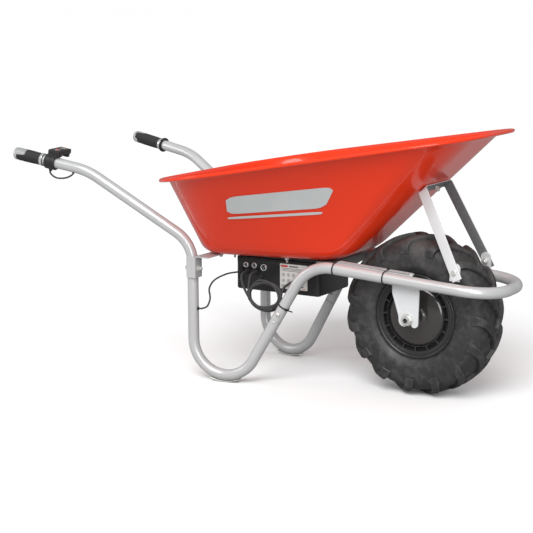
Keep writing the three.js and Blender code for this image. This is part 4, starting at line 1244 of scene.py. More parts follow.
        self.cord(
            "motor_cable",
            smooth_curve(np.vstack([drop, wound, run]), 5),
            6.4,
            ("motor_cable_drop", "motor_cable_run", "cable_coil"),
            lay="coiled",
        )
        drop = np.array(
            [
                third,
                third + vector(0, -8, -0.5),
                third + vector(-0.5, -16, -7),
                third + vector(-1, -20, -22),
                third + vector(-1.5, -22, -38),
            ]
        )
        wound = self.turns(
            3.3,
            3 * math.pi + 2.35,
            vector(1.0, -2.0, 5.0, -1.0, 1.0),
            vector(-5.0, -6.0, 5.0, -5.0),
            vector(0.0, 4.0, -6.0, 3.0, -5.0, -4.0),
        )
        self.cord(
            "sensor_cable",
            smooth_curve(np.vstack([drop, wound]), 5),
            5.6,
            ("sensor_cable_drop",),
            lay="coiled",
        )
        end = wound[-1]
        sleeve = rounded_profile([(0, -4), (3.4, -4), (4.2, -1), (4.2, 15), (3.2, 18), (0, 18)], 1.0)
        place = Place.along(end, unit(wound[-1] - wound[-2]))
        Shell().grid(place.put(revolved(sleeve, 20))).piece("cable_joint_sleeve", BOOT_RUBBER, "cable_sheath")
        self.tie("coil_tie", SEAM + RISE_AXIS * 42, RISE_AXIS, TUBE + 0.2, 2.3, 20)
        self.loop_tie("loop_tie_rear", -186, (31.0, -15.5))
        self.loop_tie("loop_tie_front", -52, (29.5, -18.5))


# ---------------------------------------------------------------- tube frame


@dataclass
class TubeFrame:
    """The two handle and leg tubes and the loop that carries the wheel.

    Attributes:
        sides: How many faces go round a tube.
    """

    sides: int = 40

    def handle(self, side: Side) -> None:
        """One tube from the grip down the leg, round the foot and up to the seam."""
        line = BentLine.through([on_handle(5), HANDLE_BEND, LEG_TOP, FOOT_CORNER, SEAM], [180, 90, FOOT_BEND])
        shell = Shell().grid(swept_tube(line, TUBE, self.sides, LEFT, 0.8), capped=True)
        neck = Place.along(SEAM, RISE_AXIS)
        shell.grid(neck.put(revolved(np.array([[0, -4], [11.7, -4], [11.7, 40], [0, 40]]), 32)))
        name, shell = side.word, shell.on(side)
        shell.piece(f"handle_and_leg_{name}", SILVER, "frame_tube", stands_for=(f"handle_tube_{name}",))

    def loop(self) -> None:
        """The one-piece loop from seam to seam, round in front of the wheel."""
        start = SEAM + RISE_AXIS * GAP * 2
        corners = [start, LOOP_REAR, LOOP_FRONT, LOOP_FRONT * OTHER_SIDE, LOOP_REAR * OTHER_SIDE, start * OTHER_SIDE]
        line = BentLine.through(corners, [105, 92, 92, 105])
        shell = Shell().grid(swept_tube(line, TUBE, self.sides, UP, 0.8), capped=True)
        shell.piece("front_loop", SILVER, "frame_tube", stands_for=("front_loop_tube",))

    def shoe(self, side: Side) -> None:
        """A wear strip: a flat section carried along an arc under the foot's bend."""
        reach, inner, thick = 0.375, FOOT_BEND + TUBE + GAP, 2.3
        angle = np.linspace(-reach, reach, 33)[:, None, None] - math.pi / 2
        section = rounded_rectangle(22, thick, 0.8, 3)
        radius = inner + thick / 2 + section[None, :, 1:2]
        across = LEG_SIDE * section[None, :, 0:1]
        places = FOOT_CENTRE + LEG_AHEAD * radius * np.cos(angle) + UP * radius * np.sin(angle) + across
        shell = Shell().grid(places, capped=True)
        name, shell = side.word, shell.on(side)
        shell.piece(f"foot_strip_{name}", ZINC, "zinc_fastener", stands_for=(f"foot_shoe_{name}",))

    def seam_bolts(self, side: Side) -> None:
        """The domed bolt through the joint and the small rivet below it."""
        name = side.word
        bolt_at = SEAM + RISE_AXIS * 20 - LEG_SIDE * (TUBE + GAP)
        shell = add_bolt(
            Shell(), Place.along(bolt_at, LEG_SIDE), 2 * (TUBE + GAP), 6.2, 3.0, 4.0, 5.0, 3.0, domed=True
        )
        dome = np.stack([3.2 * np.sin(np.linspace(0, 1.57, 7)), -1.8 * np.cos(np.linspace(0, 1.57, 7))], axis=-1)
        rivet = Place.along(SEAM - RISE_AXIS * 4 - LEG_SIDE * (TUBE - 0.1), LEG_SIDE)
        shell.grid(rivet.put(revolved(np.vstack([dome, [[0, 0]]]), 20)))
        shell.on(side).piece(f"seam_fasteners_{name}", ZINC, "zinc_fastener", stands_for=(f"joint_bolt_{name}",))

    def grommet(self, name: str, at: Array, axis: Array) -> None:
        """A rubber ring in the tube wall where the throttle cable goes through."""
        ring = rounded_profile([(2.2, -3.0), (3.2, -3.0), (3.2, 0), (5.0, 0), (5.0, 1.4), (2.2, 1.4)], 0.5)
        place = Place.along(at, axis)
        Shell().grid(place.put(revolved(ring, 24)), wrap_rows=True).piece(name, BOOT_RUBBER, "black_rubber")

    def build(self) -> None:
        """Builds both handles, the loop, the foot strips and their fasteners."""
        for side in Side:
            self.handle(side)
            self.shoe(side)
            self.seam_bolts(side)
        self.loop()
        self.grommet("handle_cable_grommet", on_handle(HANDLE_HOLE) - UP * TUBE, -UP)
        self.grommet("leg_cable_grommet", LEG_TOP * vector(1, 1, 0) + vector(TUBE, 0, LEG_HOLE_UP), AHEAD)


# ---------------------------------------------------------------- brackets


@dataclass
class Brackets:
    """The saddles, cross members, rails and fork plates that hold the tubes, the tray and the axle.

    Attributes:
        tray_floor: How high the tray's floor is.
    """

    tray_floor: float = TRAY_FLOOR

    def both(self, shell: Shell, name: str, finish: Finish, slot: str, node: str) -> None:
        """Makes a right-hand piece and its mirror image."""
        shell.piece(f"{name}_right", finish, slot, stands_for=(f"{node}_right",))
        shell.mirror().piece(f"{name}_left", finish, slot, stands_for=(f"{node}_left",))

    def saddle(self) -> Shell:
        """A folded channel round the front of the leg: a bent strip's outline carried straight up."""
        inside, sheet, arm = TUBE + 0.8, 3.0, 8.0
        middle = inside + sheet / 2
        turns = ((-arm, -middle), (middle, -middle), (middle, middle), (-arm, middle))
        corners = [vector(x, y, 0) for x, y in turns]
        line = BentLine.through(corners, [3.0, 3.0], 0.3)
        outline = line.strip(sheet)
        places = slab(outline, 265, 318, 0.5) + LEG_TOP * vector(1, 1, 0)
        return Shell().grid(places, capped=True)

    def rear_strip(self) -> None:
        """The flat strip over both saddles."""
        outline = rounded_rectangle(40, 380, 6, 5) + np.array([-532, 0])
        shell = Shell().grid(slab(outline, 318.3, 321.2, 0.5), capped=True)
        shell.piece("rear_strip", SILVER, "frame_tube", stands_for=("rear_cross_strip",))

    def front_channel(self) -> None:
        """The inverted channel across the loop: a bent strip's outline carried across the barrow."""
        rear, front, sheet, low = -250.0, -212.0, 3.0, 299.0
        high = self.tray_floor - GAP - 0.1
        half = (front - rear) / 2 - sheet / 2
        top = high - sheet / 2
        corners = [vector(x, y, 0) for x, y in ((-half, low), (-half, top), (half, top), (half, low))]
        line = BentLine.through(corners, [3.2, 3.2], 0.3)
        outline = line.strip(sheet)
        grid = slab(outline, -101.4, 101.4, 0.4)
        places = on_edge(grid) + vector((rear + front) / 2, 0, 0)
        Shell().grid(places, capped=True).piece(
            "front_channel", DARK_PAINT_AND_PAINTED_SHADE, "dark_channel", stands_for=("front_cross_channel",)
        )

    def rail(self) -> Shell:
        """The angle bar along the inside of the loop tube: a web and a flange with rounded corners."""
        near, thick = TUBE + GAP + 0.05, 4.0
        place = loop_place()
        web = rounded_rectangle(204, 23, 2.0, 4) + np.array([-88, 4.5])
        grid = slab(web, near, near + thick, 0.5)
        shell = Shell().grid(place.put(on_edge(grid)), capped=True)
        flange = rounded_rectangle(204, 16, 6.5, 6) + np.array([-88, near + 8])
        shell.grid(place.put(slab(flange, 12, 16, 0.5)), capped=True)
        return shell

    def fork_plate(self) -> Shell:
        """The plate with a slot open downwards for the axle: its outline carried through its thickness."""
        slot = 7.3
        angle = np.linspace(math.pi, 1.62 * math.pi, 9)
        rear_toe = np.stack([-10 + 14 * np.cos(angle), 196 + 14 * np.sin(angle)], axis=-1)
        arch = np.linspace(math.pi, 0, 13)
        slot_top = np.stack([slot * np.cos(arch), 200 + slot * np.sin(arch)], axis=-1)
        angle = np.linspace(-0.75 * math.pi, 0, 8)
        front_toe = np.stack([18 + 10 * np.cos(angle), 191 + 10 * np.sin(angle)], axis=-1)
        top = [[30, 262], [30, 292], [24, 299.5], [-34, 299.5], [-42, 290], [-42, 262], [-27, 214], [-24.6, 206]]
        outline = np.vstack([rear_toe, slot_top, front_toe, top])
        grid = slab(outline, -94.4, -89.6, 0.7)
        return Shell().grid(on_edge(grid), capped=True)

    def fold(self) -> Shell:
        """The narrow pressed rib along the fork plate's rear edge: half a tube along a bent line."""
        corners = [vector(-36.5, -94.6, 288), vector(-36.5, -94.6, 260), vector(-21.5, -94.6, 212)]
        line = BentLine.through(corners, [14], 0.1)
        return Shell().grid(swept_tube(line, 1.6, 14, LEFT, 0.3), capped=True)

    def saddle_bolt(self) -> Shell:
        """The bolt through the leg and the saddle, with its nut in front."""
        start = vector(LEG_TOP[0] - TUBE - GAP, LEG_TOP[1], 288)
        return add_bolt(Shell(), Place.along(start, AHEAD), 2 * TUBE + 0.8 + 3 + 2 * GAP, 7.5)

    def box_bolts(self) -> None:
        """The four bolts beside the battery box that hang below the tray's floor."""
        shell = Shell()
        for x, y in ((-494, -91), (-494, 91), (-341, -88), (-341, 88)):
            place = Place.along(vector(x, y, self.tray_floor + 2.3), -UP)
            add_bolt(shell, place, 3.4, 6.2, 3.0, 2.4, 5.0, 7.5, domed=True)
        shell.piece("box_bolts", ZINC, "zinc_fastener")

    def build(self) -> None:
        """Builds every bracket with its bolts."""
        self.both(self.saddle(), "saddle", SILVER, "frame_tube", "leg_saddle")
        self.both(self.saddle_bolt(), "saddle_fastener", ZINC, "zinc_fastener", "saddle_bolt")
        self.rear_strip()
        self.front_channel()
        self.both(self.rail(), "rail", PALE, "bright_bracket", "fork_rail")
        plate = self.fork_plate()
        self.both(plate, "axle_plate", PALE, "bright_bracket", "fork_plate")
        fold = self.fold()
        fold.piece("axle_plate_rib_right", PALE, "bright_bracket")
        fold.mirror().piece("axle_plate_rib_left", PALE, "bright_bracket")
        self.box_bolts()


# ---------------------------------------------------------------- tray


@dataclass(frozen=True)
class Outline:
    """A four-sided outline with rounded corners, for the tray's floor or rim.

    Attributes:
        rear: How far ahead its rear side is.
        front: How far ahead its front side is.
        rear_half: Half its rear side.
        front_half: Half its front side.
        rear_round: Its rear corners' radius.
        front_round: Its front corners' radius.
    """

    rear: float
    front: float
    rear_half: float
    front_half: float
    rear_round: float
    front_round: float

    def moved(self, out: float, front_share: float = 1.0, round_share: float = 1.0) -> "Outline":
        """The outline grown outwards by a distance, with shares of it for the front and the corners."""
        return Outline(
            self.rear - out,
            self.front + out * front_share,
            self.rear_half + out,
            self.front_half + out,
            self.rear_round + out * round_share,
            self.front_round + out * round_share,
        )

    def half_at(self, x: Array) -> Array:
        """Half the width between the straight sides at a distance ahead."""
        share = (x - self.rear) / (self.front - self.rear)
        return self.rear_half + (self.front_half - self.rear_half) * share

    def places(self, corner_steps: int, side_steps: int) -> Array:
        """Places round the outline: an arc for each corner and an evenly divided line for each side.

        Args:
            corner_steps: How many steps a corner has.
            side_steps: How many steps a side has.

        Returns:
            The places in x and y, from the rear left round by the rear right.
        """
        corners = [
            (vector(self.rear, self.rear_half, 0), self.rear_round),
            (vector(self.rear, -self.rear_half, 0), self.rear_round),
            (vector(self.front, -self.front_half, 0), self.front_round),
            (vector(self.front, self.front_half, 0), self.front_round),
        ]
        arcs = []
        for index, (corner, radius) in enumerate(corners):
            way_in = unit(corner - corners[index - 1][0])
            way_out = unit(corners[(index + 1) % 4][0] - corner)
            turn = math.acos(float(way_in @ way_out))
            inward = unit(way_out - way_in * (way_in @ way_out))
            start = corner - way_in * radius * math.tan(turn / 2)
            swept = np.linspace(0, turn, corner_steps + 1)[:, None]
            arcs.append(start + inward * radius * (1 - np.cos(swept)) + way_in * radius * np.sin(swept))
        parts = []
        for index, arc in enumerate(arcs):
            share = np.linspace(0, 1, side_steps + 1)[1:-1, None]
            after = arcs[(index + 1) % 4][0]
            parts.extend([arc, arc[-1] * (1 - share) + after * share])
        return np.vstack(parts)[:, :2]


@dataclass
class Tray:
    """The pressed steel tray with its rolled rim.

    Attributes:
        floor: The floor's outline.
        rim: The rim's outline.
        floor_up: The floor's height.
        sheet: The sheet's thickness.
        lip: How wide the rim's flat lip is.
        front_share: How much wider the lip is in front.
        rim_at_axle: The rim's height above the axle.
        slope: How much the rim rises towards the front.
    """

    floor: Outline = Outline(-574, -183, 160, 100, 62, 48)
    rim: Outline = Outline(-644, 158, 374, 166, 211, 146)
    floor_up: float = TRAY_FLOOR
    sheet: float = 2.0
    lip: float = 24.0
    front_share: float = 1.38
    rim_at_axle: float = 619.0
    slope: float = 0.167
    corner_steps: int = 28
    side_steps: int = 22

    def floor_row(self, inset: float, front_inset: float, lift: float) -> Array:
        """The floor's outline drawn in, with its own inset in front, at a height above the floor."""
        drawn = Outline(
            self.floor.rear + inset,
            self.floor.front - front_inset,
            self.floor.rear_half - inset,
            self.floor.front_half - inset,
            self.floor.rear_round - inset * 0.6,
            self.floor.front_round - inset * 0.6,
        ).places(self.corner_steps, self.side_steps)
        return np.concatenate([drawn, np.full((len(drawn), 1), self.floor_up + lift)], axis=1)

    def rim_row(self, out: float, lift: float) -> Array:
        """The rim's outline moved outwards and raised, on the rim's slope."""
        drawn = self.rim.moved(out, self.front_share).places(self.corner_steps, self.side_steps)
        height = self.rim_at_axle + self.slope * drawn[:, :1] + lift
        return np.concatenate([drawn, height], axis=1)

    def skin(self, inset: float, lift: float) -> Array:
        """One skin of the tray from the floor's flat middle up to the rim.

        The bend between floor and wall is a quadratic curve from the flat, through the corner, to the
        wall, and the wall is a straight blend from the corner up to the rim.

        Args:
            inset: How far inside the outer skin it is.
            lift: How far above the outer floor its floor is.

        Returns:
            A grid of places, lowest row first.
        """
        flat = self.floor_row(inset + 26, inset + 58, lift)
        knee = self.floor_row(inset, inset, lift)
        top = self.rim_row(-inset, 0)
        start = knee + (top - knee) * 0.13
        s = np.linspace(0, 1, 12)[:, None, None]
        bend = (1 - s) ** 2 * flat + 2 * s * (1 - s) * knee + s**2 * start
        t = np.linspace(0.13, 1, 26)[1:-1, None, None]
        wall = knee + (top - knee) * t
        middle = flat.mean(axis=0)
        q = np.linspace(0.02, 1, 12)[:-1, None, None]
        base = middle + (flat - middle) * q
        return np.concatenate([base, bend, wall])

    def roll(self) -> Array:
        """The rim from the outer wall out along the lip, round the bead and back along the top."""
        bead, reach = 4.5, self.lip - 4.5
        rows = [self.rim_row(-0.2, -3.5), self.rim_row(1.2, -3.2), self.rim_row(reach - bead, -3.0)]
        for angle in np.linspace(-0.78 * math.pi, 0.78 * math.pi, 19)[1:-1]:
            rows.append(self.rim_row(reach + bead * math.cos(angle), -1 + bead * math.sin(angle)))
        rows.extend([self.rim_row(reach - bead, 0.5), self.rim_row(1.0, 0.35), self.rim_row(-1.2, 0.0)])
        rows.append(self.rim_row(-self.sheet * 1.4, -1.2))
        return np.stack(rows)

    def stripe(self, name: str, share: tuple[float, float], side: Side) -> None:
        """A plain film stripe that lies on the side wall: a grid over length and height, a little proud.

        Args:
            name: The stripe's name.
            share: Which shares of the wall's height it covers.
            side: The side of the tray it is on.
        """
        floor, rim = self.floor, self.rim
        u = np.linspace(0, 1, 25)
        v = np.linspace(0, 1, 7)
        corner = 0.12
        fade = np.clip(np.minimum(u, 1 - u) / corner, 0, 1)
        height = np.sqrt(1 - (1 - fade) ** 2) * 0.35 + 0.65
        uu, vv = np.meshgrid(u, v, indexing="ij")
        level = (share[0] + share[1]) / 2 + (vv - 0.5) * (share[1] - share[0]) * height[:, None]
        knee_x = -500 + 270 * (0.12 + 0.66 * uu)
        rim_x = -430 + 430 * (0.10 + 0.70 * uu)
        knee_y, rim_y = floor.half_at(knee_x), rim.half_at(rim_x)
        knee = np.stack([knee_x, -knee_y, np.full_like(knee_x, self.floor_up)], axis=-1)
        top = np.stack([rim_x, -rim_y, self.rim_at_axle + self.slope * rim_x], axis=-1)
        places = knee + (top - knee) * level[..., None]
        normal = unit(np.cross(np.gradient(places, axis=0), np.gradient(places, axis=1)))
        if normal[..., 1].mean() > 0:
            normal = -normal
        shell = Shell()
        front = places + normal * 0.45
        back = places - normal * 0.3
        ring = np.concatenate([front, back[:, ::-1]], axis=1)
        shell.grid(ring, capped=True)
        shell.on(side).piece(name, DECAL, "rating_label", sharp=60)

    def bolts(self) -> None:
        """The two bolts through the rear of the floor."""
        for side, name in ((1, "right"), (-1, "left")):
            place = Place.along(vector(-528, -104 * side, self.floor_up + 2.3), -UP)
            shell = add_bolt(Shell(), place, 2 + 3 + 0.9, 6.5, 4.0, 3.0, 6.0, 3.0, domed=True)
            shell.piece(f"tray_fastener_{name}", ZINC, "zinc_fastener", stands_for=(f"tray_bolt_{name}",))

    def build(self) -> None:
        """Builds the tray, its stripes and its bolts."""
        outer = self.skin(0, 0)
        inner = self.skin(self.sheet * 1.4, self.sheet)
        rows = np.concatenate([outer, self.roll(), inner[::-1]])
        Shell().grid(rows, capped=True).piece("pressed_tray", RED, "tray_paint", stands_for=("tray",), sharp=50)
        for side in Side:
            self.stripe(f"side_stripe_{side.word}", (0.52, 0.72), side)
            self.stripe(f"side_pinstripe_{side.word}", (0.46, 0.485), side)
        self.bolts()


# ---------------------------------------------------------------- strut


@dataclass
class Strut:
    """The flat bar that props the tray's front wall, with its tabs and bolts.

    Attributes:
        width: The bar's width.
        thick: Its thickness.
        top_ahead: How far ahead of the axle its bolt meets the tray.
        top_half: Half the crown's width.
        foot: Where the right leg's foot is.
    """

    width: float = 25.0
    thick: float = 4.0
    top_ahead: float = 23.0
    top_half: float = 74.0
    foot: tuple[float, float, float] = (131.0, 98.0, 309.0)
    wall_out: Array = field(init=False)
    wall_up: Array = field(init=False)
    bolt: Array = field(init=False)
    top: Array = field(init=False)
    length: float = field(init=False)
    leg_top: Array = field(init=False)
    down: Array = field(init=False)
    across: Array = field(init=False)
    out: Array = field(init=False)
    foot_bolt: Array = field(init=False)
    foot_end: Array = field(init=False)

    def __post_init__(self) -> None:
        """Works out the wall's slope and the leg's directions."""
        tray = Tray()
        ahead = tray.rim.front - tray.floor.front
        rise = tray.rim_at_axle + tray.slope * tray.rim.front - tray.floor_up
        self.wall_out = unit(vector(rise, 0, -ahead))
        self.wall_up = unit(vector(ahead, 0, rise))
        self.bolt = vector(self.top_ahead, 0, tray.floor_up + rise / ahead * (self.top_ahead - tray.floor.front))
        self.top = self.bolt + self.wall_out * (self.thick / 2 + 3 * GAP)
        reach = vector(self.foot[0], 0, self.foot[2]) - self.top
        self.length = float(np.linalg.norm(reach))
        lean = reach / self.length
        leg_top = self.top_half - self.thick / 2
        splay = (self.foot[1] - leg_top) / self.length
        self.leg_top = self.top - LEFT * leg_top
        self.down = unit(vector(lean[0], -splay, lean[2]))
        self.across = vector(-lean[2], 0, lean[0])
        self.out = np.cross(self.down, self.across)
        reach_down = self.length - 20
        self.foot_bolt = self.top + lean * reach_down - LEFT * (leg_top + splay * reach_down)
        self.foot_end = self.top + lean * self.length - LEFT * (leg_top + splay * self.length)

    def bar(self) -> None:
        """The bent bar: a flat section carried up one leg, over the crown and down the other, with painted shade on
        its inner side.
        """
        corners = [self.foot_end, self.leg_top, self.leg_top * OTHER_SIDE, self.foot_end * OTHER_SIDE]
        line = BentLine.through(corners, [7.0, 7.0], 0.12)
        level = ease((np.abs(line.headings[:, 1]) - 0.2) / 0.75)[:, None]
        wide = self.across * (1 - level) + self.wall_up * level
        wide = unit(wide - line.headings * (wide * line.headings).sum(axis=1, keepdims=True))
        thin = np.cross(line.headings, wide)
        section = rounded_rectangle(self.width, self.thick, 0.9, 3)
        places = (
            line.places[:, None]
            + wide[:, None] * section[None, :, 0:1]
            + thin[:, None] * section[None, :, 1:2]
        )
        shell = Shell().grid(places, capped=True)
        columns = len(section)
        side = np.arange(columns)
        # The faces on the bar's inner side get the dark grey finish as painted shade; the bar is one pale piece.
        inner = section[side, 1] + section[(side + 1) % columns, 1] > 1.5
        tags = np.tile(inner.astype(int), len(places) - 1)
        shell.tags[: len(tags)] = tags.tolist()
        shell.piece("tray_prop", [PALE, DARK_PAINT_AND_PAINTED_SHADE], "bright_bracket", stands_for=("tray_strut",), sharp=50)

    def tab(self) -> Shell:
        """The plate behind the leg's foot: a round-topped outline carried through its thickness."""
        half, thick, drop, rise = 13.0, 4.0, 21.0, 9.0
        arch = np.linspace(0, math.pi, 17)
        top = np.stack([half * np.cos(arch), rise + half * np.sin(arch)], axis=-1)
        outline = np.vstack([[[-half, -drop], [half, -drop]], top])
        grid = slab(outline, 0, thick, 0.5)
        inward = -self.out
        ahead = unit(AHEAD - inward * inward[0])
        start = self.foot_bolt + inward * (self.thick / 2 + GAP)
        place = Place(start, ahead, np.cross(ahead, inward), inward)
        return Shell().grid(place.put(grid), capped=True)

    def build(self) -> None:
        """Builds the bar, both tabs and the three bolts."""
        self.bar()
        tab = self.tab()
        start = self.foot_bolt + self.out * (self.thick / 2 + 0.4)
        grip = 2 * self.thick + 3 * GAP + 2.2
        bolt = add_bolt(Shell(), Place.along(start, -self.out), grip, 6.5)
        for name, plate, fastener in (("right", tab, bolt), ("left", tab.mirror(), bolt.mirror())):
            plate.piece(f"prop_tab_{name}", PALE, "bright_bracket", stands_for=(f"strut_tab_{name}",))
            fastener.piece(f"prop_bolt_{name}", ZINC, "zinc_fastener", stands_for=(f"strut_bolt_{name}",))
        crown = Place.along(self.bolt - self.wall_out * 3.2, self.wall_out)
        shell = add_bolt(Shell(), crown, 11.0, 6.5, 4.0, 3.0, 6.0, 4.0, domed=True)
        shell.piece("prop_crown_bolt", ZINC, "zinc_fastener", stands_for=("strut_crown_bolt",))


# ---------------------------------------------------------------- battery box


@dataclass
class PowerBox:
    """The moulded battery box with its lid, sockets, boots and label.

    Attributes:
        rear: How far ahead its rear wall is.
        front: How far ahead its front wall is.
        half: Half its width.
        low: Its underside's height.
        high: Its open top's height.
    """

    rear: float = -498.0
    front: float = -253.0
    half: float = 80.0
    low: float = 226.0
    high: float = 306.0

    def face(self, x: float, z: float) -> Place:
        """A place on the right-hand face, with z pointing out of it and y up."""
        return Place(vector(x, -self.half, z), AHEAD, UP, -LEFT)

    def shell(self) -> None:
        """The box: rounded rectangles at rising heights, drawn in at the bottom edge, and its hollow."""
        size = (self.front - self.rear, 2 * self.half)
        outline = rounded_rectangle(*size, 9, 8) + np.array([(self.rear + self.front) / 2, 0])
        angle = np.linspace(0, math.pi / 2, 6)
        foot = [(self.low + 5 * (1 - math.sin(a)), 5 * (1 - math.cos(a))) for a in angle[::-1]]
        levels = foot + [(self.high - 10, 0.4), (self.high - 9.4, 0.0), (self.high - 0.5, 0.0), (self.high, 0.5)]
        levels += [(self.high, 3.0), (self.low + 3, 3.0)]
        box = Shell().grid(lofted(outline, levels), capped=True)
        box.piece("battery_box", BOX_BLACK, "black_plastic", stands_for=("power_box",))

    def lid(self) -> None:
        """The lid: a flange with a lower step and a raised crown."""
        size = (self.front - self.rear, 2 * self.half)
        middle = np.array([(self.rear + self.front) / 2, 0])
        low = self.high + GAP
        flange = rounded_rectangle(*size, 9, 8) + middle
        levels = [(low, 0.8), (low + 0.8, 0.0), (low + 3.2, 0.0), (low + 4.0, 0.8), (low + 4.1, 7.0)]
        levels += [(low + 4.6, 8.0), (320.6, 8.4), (321.2, 9.2)]
        lid = Shell().grid(lofted(flange, levels), capped=True)
        lid.piece("battery_box_lid", LID_BLACK, "black_gloss_plastic", stands_for=("power_box_lid",))

    def socket(self, number: int, x: float, z: float, radius: float) -> None:
        """A charging or control socket: a chrome collar round a black core with a key and pins."""
        place = self.face(x, z)
        collar = [(radius - 3.0, 0.3), (radius, 0.3), (radius, 3.2), (radius - 0.9, 5.0)]
        collar += [(radius - 2.2, 5.0), (radius - 2.6, 3.4), (radius - 3.0, 0.3)]
        shell = Shell().grid(place.put(revolved(rounded_profile(collar, 0.5)[:-1], 40)), wrap_rows=True)
        core = rounded_profile([(0, 0.2), (radius - 2.8, 0.2), (radius - 2.8, 2.6), (0, 2.6)], 0.3)
        shell.grid(place.put(revolved(core, 32)), tag=1)
        angle = np.arange(3) * 2.094 + 0.5
        for a in angle:
            spot = place.at(2.2 * math.cos(a), 2.2 * math.sin(a), 2.5)
            pin = rounded_profile([(0, 0), (0.7, 0), (0.7, 1.4), (0, 1.4)], 0.3, 2)
            shell.grid(spot.put(revolved(pin, 12)), tag=0)
        shell.piece(
            f"socket_{number}", [CHROME, CONTROL_BLACK], "plated_steel", stands_for=(f"panel_socket_{number}",)
        )

    def boot(self, number: int, x: float, z: float) -> None:
        """A plug with its ribbed strain relief, tapering to the cable."""
        place = self.face(x, z)
        profile = [(0, 0.3), (6.4, 0.3), (6.4, 5.5), (5.4, 6.5)]
        for step in range(4):
            level = 7.0 + step * 1.9
            width = 5.1 - step * 0.33
            profile += [(width, level), (width, level + 1.0), (width - 0.9, level + 1.1), (width - 0.9, level + 1.8)]
        profile += [(3.7, 14.6), (3.3, 15.0), (0, 15.0)]
        shell = Shell().grid(place.put(revolved(rounded_profile(profile, 0.35, 2), 32)))
        shell.piece(f"cable_boot_{number}", BOOT_RUBBER, "black_rubber", stands_for=(f"cable_gland_{number}",))

    def cap(self, number: int, x: float, z: float, radius: float) -> None:
        """A screwed-in cap with a raised rim and a coin slot."""
        place = self.face(x, z)
        profile = [(0, 0.2), (radius, 0.2), (radius, 2.2), (radius - 0.8, 3.0), (radius - 2.0, 3.0)]
        profile += [(radius - 2.6, 1.8), (0, 1.8)]
        shell = Shell().grid(place.put(revolved(rounded_profile(profile, 0.4), 36)))
        bar = slab(rounded_rectangle(1.6 * radius - 3, 1.8, 0.6, 3), 1.6, 2.7, 0.3)
        shell.grid(place.put(bar), capped=True)
        shell.piece(f"face_cap_{number}", CONTROL_BLACK, "black_plastic")

    def label(self) -> None:
        """The rating label: a thin card with plain bars, rings and blocks that stand for print."""
        place = self.face(-326, 271)
        shell = Shell().grid(place.put(slab(rounded_rectangle(80, 64, 2, 4), 0.3, 1.0, 0.15)), capped=True)

        def mark(x: float, y: float, wide: float, high: float, tag: int) -> None:
            """Adds one printed block to the label."""
            outline = rounded_rectangle(wide, high, min(wide, high) * 0.2, 2) + np.array([x, y])
            shell.grid(place.put(lofted(outline, [(0.9, 0.0), (1.06, 0.02)])), capped=True, tag=tag)

        mark(-27, 26, 20, 5, 2)
        mark(0, 26, 26, 3.4, 1)
        for row, (start, width) in enumerate(((-34, 60), (-34, 66), (-34, 52))):
            mark(start + width / 2, 20.5 - row * 3.2, width, 1.3, 1)
        for column in range(4):
            for row in range(2):
                tag = 2 if (column, row) == (3, 0) else 1
                x, y = -30 + column * 15.0, 4 - row * 15.0
                ring = [(3.6, 0.9), (4.6, 0.9), (4.6, 1.07), (3.6, 1.07)]
                disc = place.at(x, y, 0)
                shell.grid(disc.put(revolved(np.array(ring), 20)), wrap_rows=True, tag=tag)
                mark(x, y, 3.2, 3.2, tag)
        for index in range(16):
            mark(-35 + index * 1.9, -24.5, 0.9 if index % 3 else 1.3, 7, 1)
        mark(14, -23.5, 30, 3.0, 1)
        mark(30, -28.5, 6, 2.0, 2)
        shell.piece("rating_card", [PAPER, INK, RED_INK], "rating_label", stands_for=("rating_label",))

    def build(self) -> None:
        """Builds the box and everything on it."""
        self.shell()
        self.lid()
        for number, (x, z, radius) in enumerate(((-466, 291, 7.5), (-441, 291, 7.5), (-413, 288, 9.0)), 1):
            self.socket(number, x, z, radius)
        for number, (x, z) in enumerate(BOOTS, 1):
            self.boot(number, x, z)
        self.cap(1, -483.1, 253.5, 8.0)
        self.cap(2, -424.3, 262.0, 7.5)
        self.label()


# ---------------------------------------------------------------- wheel


